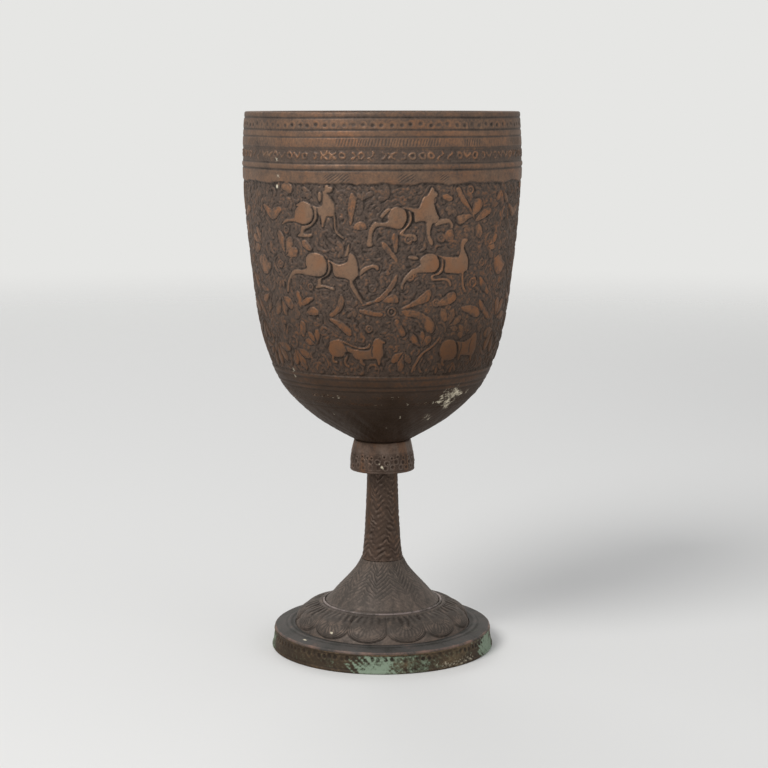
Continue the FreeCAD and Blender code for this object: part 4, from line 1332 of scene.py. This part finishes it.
def flange_piece(material):
    """The flange: a ring that rises a little towards the petals, with a low step, uneven from casting."""
    columns, cell = FLANGE_GRID
    low, seat = FLANGE_LOW[2], RING_LOW[2]
    outer, inner = FLANGE_HIGH[0], RING_FOOT_RADIUS + 0.9
    flat = seat + SHOWN_LIFT
    front = even(soft_corners([
        (outer, low), (outer, flat - 0.12), (outer - 0.3, flat), (inner + 1.65, flat + 0.6),
        (inner + 1.35, flat + 0.8), (inner + 1.0, flat + 0.9), (inner + 0.35, flat + 0.9),
        (inner + 0.05, flat + 0.8), (inner - 0.1, flat + 0.72), (RING_FOOT_RADIUS - 0.52, flat + 0.72),
        (RING_FOOT_RADIUS + 0.06, seat + 0.03), (inner - 1.8, seat + 0.03),
    ], 0.3), cell)
    back = np.array([(inner - 5.6, seat), (inner - 5.6, low), (outer - 4.0, low), (outer - 0.4, low)])
    across = around(columns)
    radius = front[:, :1]
    uneven = ripple(111, across, radius * 2.0, 26.0, 3)
    rust = ripple(113, across, radius * 2.0, 14.0, 3)
    ridge = between(radius, inner + 0.1, inner + 0.5, inner + 1.0, inner + 1.5)
    corner = bump_at(radius, inner + 1.75, 0.35) + bump_at(radius, inner - 0.2, 0.5)
    edge = ramp(radius, outer - 0.55, outer - 0.2)
    fade = ramp(front[:, 1:], low + 0.05, low + 0.35) * ramp(radius, inner - 1.8, inner - 1.2)
    values = {
        "relief": 0.32 + 0.16 * uneven + 0.14 * rust + 0.10 * ridge - 0.24 * corner + 0.34 * edge,
        "copper": 0.4 + 0.5 * rust + 0.6 * edge, "grime": 0.14 + 0.12 * rust * (1.0 - edge),
        "verdigris": 0.32 * ramp(ripple(112, across, radius, 45.0, 3), 0.25, 0.9) * (1.0 - ridge),
        "chalk": spots(FLANGE_CHALK, across, radius, 0.6),
    }
    lift = 0.05 * uneven * fade
    skin("flange", front, back, columns, lift, values, material, ["foot_flange"])


def band_piece(material):
    """The band: a strip on edge with a lip above and below, punched rings, and patches of verdigris."""
    columns, cell = BAND_GRID
    top, foot = BAND_HIGH[2] + SHOWN_LIFT, BAND_HIGH[0]
    upper = FLANGE_HIGH[0] + 0.2
    front = even(soft_corners([
        (foot - 0.6, 0.0), (foot, 0.0), (foot, 0.7), (foot - 0.3, 1.0), (upper - 0.25, top - 0.7),
        (upper, top - 0.45), (upper, top), (upper - 1.0, top),
    ], 0.22), cell)
    back = np.array([(upper - 1.3, top), (foot - 1.3, 0.0)])
    across = around(columns)
    degrees = across / AROUND * 360.0
    level = front[:, 1:]
    girth = TAU * foot
    count = int(round(girth / (bpy.context.scene.goblet_sizes.band_punch / MM)))
    local, drop, bold = punched_row(across * foot / ARC_RADIUS, girth, count, 121, 0.3)
    away = np.hypot(local, level - 4.4 - drop) + 0.2 * ripple(125, across * 2.0, level * 6.0, 12.0, 3)
    faint = (0.45 + 0.55 * worn_at(122, across, 30.0, 3, -0.6, 0.4)) * (0.85 + bold)
    wall = ramp(front[:, :1], upper - 0.45, upper - 0.2) * between(level, 0.8, 1.1, top - 0.8, top - 0.5)
    faint = faint * (1.0 - 0.7 * ramp(degrees, 54.0, 62.0)) * wall
    pit = ramp(-away, -0.78, -0.3) * faint
    ring = bump_at(away, 0.98, 0.2) * faint
    uneven = ripple(123, across, level * 3.0, 22.0, 3)
    scrape = ripple(126, across * 2.0, level * 4.0, 7.0, 3)
    lip_top = ramp(level, top - 0.5, top - 0.35)
    height = -0.22 * pit + 0.06 * ring + 0.05 * uneven
    tone = 0.38 + 0.22 * uneven + 0.14 * scrape - 0.50 * pit + 0.24 * ring + 0.16 * lip_top
    tone += 0.14 * ramp(-level, -0.9, -0.6) - 0.25 * bump_at(level, 1.1, 0.25)
    # A thin dry film lightens the right of the front
    film = between(degrees, 8.0, 24.0, 54.0, 64.0)
    tone += 0.20 * film * ramp(level, 0.3, 1.4) * (1.0 - pit)
    green = 0.55 * ramp(ripple(124, across, level * 2.0, 60.0, 3), 0.28, 0.8) * (1.0 - 0.7 * lip_top)
    green = green * (1.0 - ramp(-np.abs(degrees), -100.0, -88.54))
    # Patches of verdigris, whose ends stray by some 4 degrees
    stray = degrees + 4.584 * uneven + 4.011 * scrape
    for start, end, bottom, ceiling, strength in BAND_VERDIGRIS:
        patch = between(stray, start - 7, start + 5, end - 5, end + 7)
        patch = patch * between(level, bottom - 0.5, bottom + 0.3, ceiling - 0.4, ceiling + 0.4)
        green = np.maximum(green, strength * patch)
    crust = between(degrees, 18.0, 34.0, 52.0, 60.0)
    fade = ramp(level, 0.05, 0.4) * ramp(top - level, 0.02, 0.3)
    values = {
        "relief": tone, "copper": 0.5 - 0.4 * film, "grime": 0.20 + 0.34 * ramp(-degrees, 5.73, 51.57),
        "verdigris": green * (1.0 - 0.5 * pit) + 0.12 * scrape * ramp(green, 0.1, 0.4),
        "chalk": 0.52 * crust * bump_at(level, 1.4, 1.9) * (0.9 + 0.3 * scrape),
    }
    skin("band", front, back, columns, height * fade, values, material, ["foot_band"])


# Sizes and colours in the sidebar


def length(label, description, millimetres):
    """A length in the sidebar, whose default is given in millimetres."""
    return FloatProperty(
        name=label, description=description, default=millimetres * MM, precision=5, unit="LENGTH",
    )


def colour(label, description, code):
    """A colour in the sidebar, whose default is an sRGB hex code turned to linear."""
    return FloatVectorProperty(
        name=label, description=description, default=hex_linear(code), subtype="COLOR", size=4, min=0.0,
        max=1.0,
    )


class GobletSizes(bpy.types.PropertyGroup):
    """Sizes of the worked detail."""

    cell: length("Grid cell", "Width of a cell of the bowl's surface", 0.24)
    ground_depth: length("Ground depth", "How far the frieze's ground is sunk", 0.34)
    stem_chevron: length("Stem chevron", "Step from stroke to stroke up the stem", 2.0)
    cone_chevron: length("Foot chevron", "Step from stroke to stroke on the trumpet foot", 1.6)
    petal_count: IntProperty(name="Petals", description="Lotus petals round the foot", default=13, min=3)
    petal_rise: length("Petal rise", "How far a petal swells over the dome", 0.8)
    petal_turn: FloatProperty(
        name="Petal turn", description="Turn of the valley between petals, in degrees", default=3.4,
    )
    band_punch: length("Band punch", "Step between the band's punched rings", 2.15)


class GobletColours(bpy.types.PropertyGroup):
    """Colours of the bronze, its corrosion and the stage."""

    bowl_cut: colour("Bowl lines", "Soot in the bowl's cut lines", "#2c2520")
    bowl_ground: colour("Bowl ground", "Sunk ground of the bowl", "#54473f")
    bowl_low: colour("Bowl metal", "Raised metal of the bowl, tarnished", "#836854")
    bowl_high: colour("Bowl worn metal", "Raised metal of the bowl, handled", "#8a5e40")
    stem_cut: colour("Stem lines", "Soot in the stem's cut lines", "#2e241e")
    stem_ground: colour("Stem ground", "Dull metal of stem and knop", "#4f4037")
    stem_low: colour("Stem metal", "Raised metal of stem and knop, tarnished", "#75675e")
    stem_high: colour("Stem worn metal", "Raised metal of stem and knop, handled", "#7d5a42")
    foot_cut: colour("Foot lines", "Soot in the foot's cut lines", "#302b27")
    foot_ground: colour("Foot ground", "Dull metal of the foot", "#4c4641")
    foot_low: colour("Foot metal", "Raised metal of the foot, tarnished", "#6e635c")
    foot_high: colour("Foot worn metal", "Raised metal of the foot, handled", "#7a6a5f")
    foot_bead: colour("Bead", "Rubbed metal of the bead wire", "#827672")
    flange_cut: colour("Flange lines", "Soot in the flange's grooves", "#2c2d2a")
    flange_ground: colour("Flange ground", "Dull grey metal of the flange", "#4b4947")
    flange_low: colour("Flange metal", "Raised metal of the flange, tarnished", "#6a6562")
    flange_high: colour("Flange worn metal", "Raised metal of the flange, handled", "#896f63")
    band_cut: colour("Band lines", "Soot in the band's punch marks", "#221d17")
    band_ground: colour("Band ground", "Dull metal of the band", "#42382b")
    band_low: colour("Band metal", "Raised metal of the band, tarnished", "#635540")
    band_high: colour("Band worn metal", "Raised metal of the band, handled", "#8a6d50")
    verdigris_dark: colour("Verdigris", "Green corrosion, thin", "#57634f")
    verdigris_pale: colour("Pale verdigris", "Green corrosion, powdery", "#869682")
    # Laid by the chalk value: dried deposit, and also a painted highlight on the knop and painted glints on
    # the base's rings
    chalk: colour("Deposit", "Pale dried deposit", "#d6ccb4")
    # Laid by the grime value: real grime, and painted shade low on the bowl, at its sides, and under the bowl
    # and the knop
    grime: colour("Grime", "Brown grime where hands do not reach", "#2c1c0e")
    film: colour("Tarnish film", "Brown that tints grazing reflections", "#ebe2da")
    floor: colour("Floor", "Pale floor", "#e6e5e2")


def tones(part):
    """The four colours of one part: cut line, ground, tarnished and handled metal."""
    colours = bpy.context.scene.goblet_colours
    return [tuple(getattr(colours, f"{part}_{kind}")) for kind in ("cut", "ground", "low", "high")]


# One operator for each piece or group of like pieces


class BuildBowl(bpy.types.Operator):
    """Builds the chased outside of the bowl in bands, and its hammered lining"""

    bl_idname = "goblet.bowl"
    bl_label = "Bowl"

    def execute(self, context):
        # Copper-rich bronze, raised and chased, then handled: brown, half dull, darker in the ground
        material = bronze("chased_bronze", tones("bowl"), 0.62, 0.44, 0.5)
        bowl_pieces(material)
        bowl_lining(material)
        return {"FINISHED"}


class BuildStem(bpy.types.Operator):
    """Builds the knop and the engraved stem"""

    bl_idname = "goblet.stem"
    bl_label = "Knop and stem"

    def execute(self, context):
        # Cast bronze, engraved by hand: strokes hold soot, and the ridges between them are rubbed
        material = bronze("engraved_bronze", tones("stem"), 0.6, 0.46, 0.6)
        knop_piece(material)
        stem_piece(material)
        return {"FINISHED"}


class BuildFoot(bpy.types.Operator):
    """Builds the trumpet foot, the bead wire, the lotus petals and the flange"""

    bl_idname = "goblet.foot"
    bl_label = "Foot"

    def execute(self, context):
        # Cast bronze with a greyer, dry patina: grainy, worn smooth where it is wiped
        material = bronze("cast_bronze", tones("foot"), 0.5, 0.52, 0.7)
        cone_piece(material)
        # The wire on the ring's crest is rubbed paler than the casting: its raised tones are one pale grey
        cut, ground = tones("foot")[:2]
        pale = tuple(context.scene.goblet_colours.foot_bead)
        bead_piece(bronze("rubbed_bronze", [cut, ground, pale, pale], 0.5, 0.45, 0.7))
        petal_piece(material)
        # The same casting, greyer where damp stood on its flat: its own tones
        flange_piece(bronze("damp_cast_bronze", tones("flange"), 0.45, 0.55, 0.7))
        return {"FINISHED"}


class BuildBand(bpy.types.Operator):
    """Builds the punched band that the goblet stands on"""

    bl_idname = "goblet.band"
    bl_label = "Band"

    def execute(self, context):
        # Bronze strip, punched and soldered on: browner, with green corrosion where damp got under it
        band_piece(bronze("punched_bronze", tones("band"), 0.5, 0.52, 0.6))
        return {"FINISHED"}


class DressFittings(bpy.types.Operator):
    """Gives the rod and its washers their hammered bronze"""

    bl_idname = "goblet.fittings"
    bl_label = "Fittings"

    def execute(self, context):
        # Wrought bronze, hammered over as a rivet: facets 2 mm across, dark between them
        material, tree = new_tree("hammered_bronze")
        ground, low = tones("stem")[1:3]
        place = add(tree, "TexCoord", out="Object")
        facet = add(tree, "TexVoronoi", {"Vector": place, "Scale": 1 / (2.0 * MM)})
        tarnish = add(tree, "TexNoise", {
            "Vector": place, "Scale": 1 / (4.0 * MM), "Detail": 5.0, "Roughness": 0.65,
        })
        share = add(tree, "MapRange", (tarnish, 0.35, 0.65, 0.0, 1.0))
        coat = add(tree, "Mix", {0: share, 6: ground, 7: low}, **COLOUR_MIX)
        dull = add(tree, "MapRange", (tarnish, 0.3, 0.7, 0.58, 0.44))
        bump = add(tree, "Bump", {"Height": facet, "Strength": 0.5, "Distance": 0.15 * MM})
        surface = add(tree, "BsdfPrincipled", {
            "Base Color": coat, "Metallic": 0.6, "Roughness": dull, "Normal": bump,
        })
        add(tree, "OutputMaterial", {"Surface": surface})
        for node in ("bowl_washer", "tie_rod", "neck_washer"):
            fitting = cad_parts[node]
            fitting.data.materials.clear()
            fitting.data.materials.append(material)
        return {"FINISHED"}


class BuildStage(bpy.types.Operator):
    """Lays the pale floor, hangs the soft lamps and sets up the camera"""

    bl_idname = "goblet.stage"
    bl_label = "Stage"

    def execute(self, context):
        scene = context.scene
        colours = scene.goblet_colours
        # Painted board, matt; it fades out far from the goblet so that no horizon shows
        material, tree = new_tree("painted_board")
        place = add(tree, "TexCoord", out="Object")
        distance = add(tree, "VectorMath", (place,), out="Value", operation="LENGTH")
        far = add(tree, "MapRange", (distance, 0.5, 1.5, 0.0, 1.0), interpolation_type="SMOOTHSTEP")
        board = add(tree, "BsdfPrincipled", {"Base Color": tuple(colours.floor), "Roughness": 0.85})
        surface = add(tree, "MixShader", (far, board, add(tree, "BsdfTransparent")))
        add(tree, "OutputMaterial", {"Surface": surface})
        turn = np.arange(FLOOR_SIDES) * TAU / FLOOR_SIDES
        radius = np.array(FLOOR_RADII)[:, None]
        flat = np.full((len(radius), FLOOR_SIDES), -FLOOR_DROP)
        points = np.stack([radius * np.cos(turn), radius * np.sin(turn), flat], -1)
        faces = quads(len(radius), FLOOR_SIDES, False).reshape(-1, 4).tolist()
        faces.append(list(range(flat.size - FLOOR_SIDES, flat.size)))
        mesh = bpy.data.meshes.new("floor")
        mesh.from_pydata(points.reshape(-1, 3).tolist(), [], faces)
        mesh.materials.append(material)
        floor = bpy.data.objects.new("floor", mesh)
        scene.collection.objects.link(floor)

        world = bpy.data.worlds.new("pale_room")
        world.use_nodes = True
        tree = world.node_tree
        tree.nodes.clear()
        seen = add(tree, "LightPath", out="Is Camera Ray")
        for ray in ("Is Glossy Ray", "Is Transmission Ray"):
            seen = add(tree, "Math", (seen, add(tree, "LightPath", out=ray)), operation="MAXIMUM")
        shown = add(tree, "Background", {"Color": hex_linear("#e6e6e4"), "Strength": 1.0})
        lit = add(tree, "Background", {"Color": hex_linear("#e8eaee"), "Strength": WORLD_LIGHT})
        add(tree, "OutputWorld", {"Surface": add(tree, "MixShader", (seen, lit, shown))})
        scene.world = world

        for name, place, size, power in LAMPS:
            lamp = bpy.data.lights.new(name, "AREA")
            lamp.shape = "DISK"
            lamp.size = size
            lamp.energy = power
            holder = bpy.data.objects.new(name, lamp)
            aim = np.subtract(LAMPS_AIM, place)
            flat = math.hypot(aim[0], aim[1])
            holder.location = place
            holder.rotation_euler = (math.pi / 2 + math.atan2(aim[2], flat), 0.0, math.atan2(-aim[0], aim[1]))
            scene.collection.objects.link(holder)

        eye = bpy.data.cameras.new("camera")
        eye.lens = CAMERA_LENS
        eye.sensor_width = 36.0
        eye.clip_start = 0.01
        holder = bpy.data.objects.new("camera", eye)
        holder.location = CAMERA_PLACE
        holder.rotation_euler = (math.radians(90.0 - CAMERA_TILT), 0.0, 0.0)
        scene.collection.objects.link(holder)
        scene.camera = holder
        scene.view_settings.view_transform = "Standard"
        return {"FINISHED"}


class GobletPanel(bpy.types.Panel):
    """Lists the goblet's sizes, colours and pieces"""

    bl_idname = "VIEW3D_PT_goblet"
    bl_label = "Goblet"
    bl_space_type = "VIEW_3D"
    bl_region_type = "UI"
    bl_category = "Goblet"

    def draw(self, context):
        for group in (context.scene.goblet_sizes, context.scene.goblet_colours):
            box = self.layout.box()
            for key in group.__annotations__:
                box.prop(group, key)
        for operator in OPERATORS:
            self.layout.operator(operator.bl_idname)


OPERATORS = (BuildBowl, BuildStem, BuildFoot, BuildBand, DressFittings, BuildStage)
CLASSES = (GobletSizes, GobletColours, *OPERATORS, GobletPanel)


def register():
    for cls in CLASSES:
        bpy.utils.register_class(cls)
    bpy.types.Scene.goblet_sizes = PointerProperty(type=GobletSizes)
    bpy.types.Scene.goblet_colours = PointerProperty(type=GobletColours)


def unregister():
    del bpy.types.Scene.goblet_colours
    del bpy.types.Scene.goblet_sizes
    for cls in reversed(CLASSES):
        bpy.utils.unregister_class(cls)


def main():
    register()
    bpy.ops.goblet.bowl()
    bpy.ops.goblet.stem()
    bpy.ops.goblet.foot()
    bpy.ops.goblet.band()
    bpy.ops.goblet.fittings()
    bpy.ops.goblet.stage()


if __name__ == "__main__":
    main()
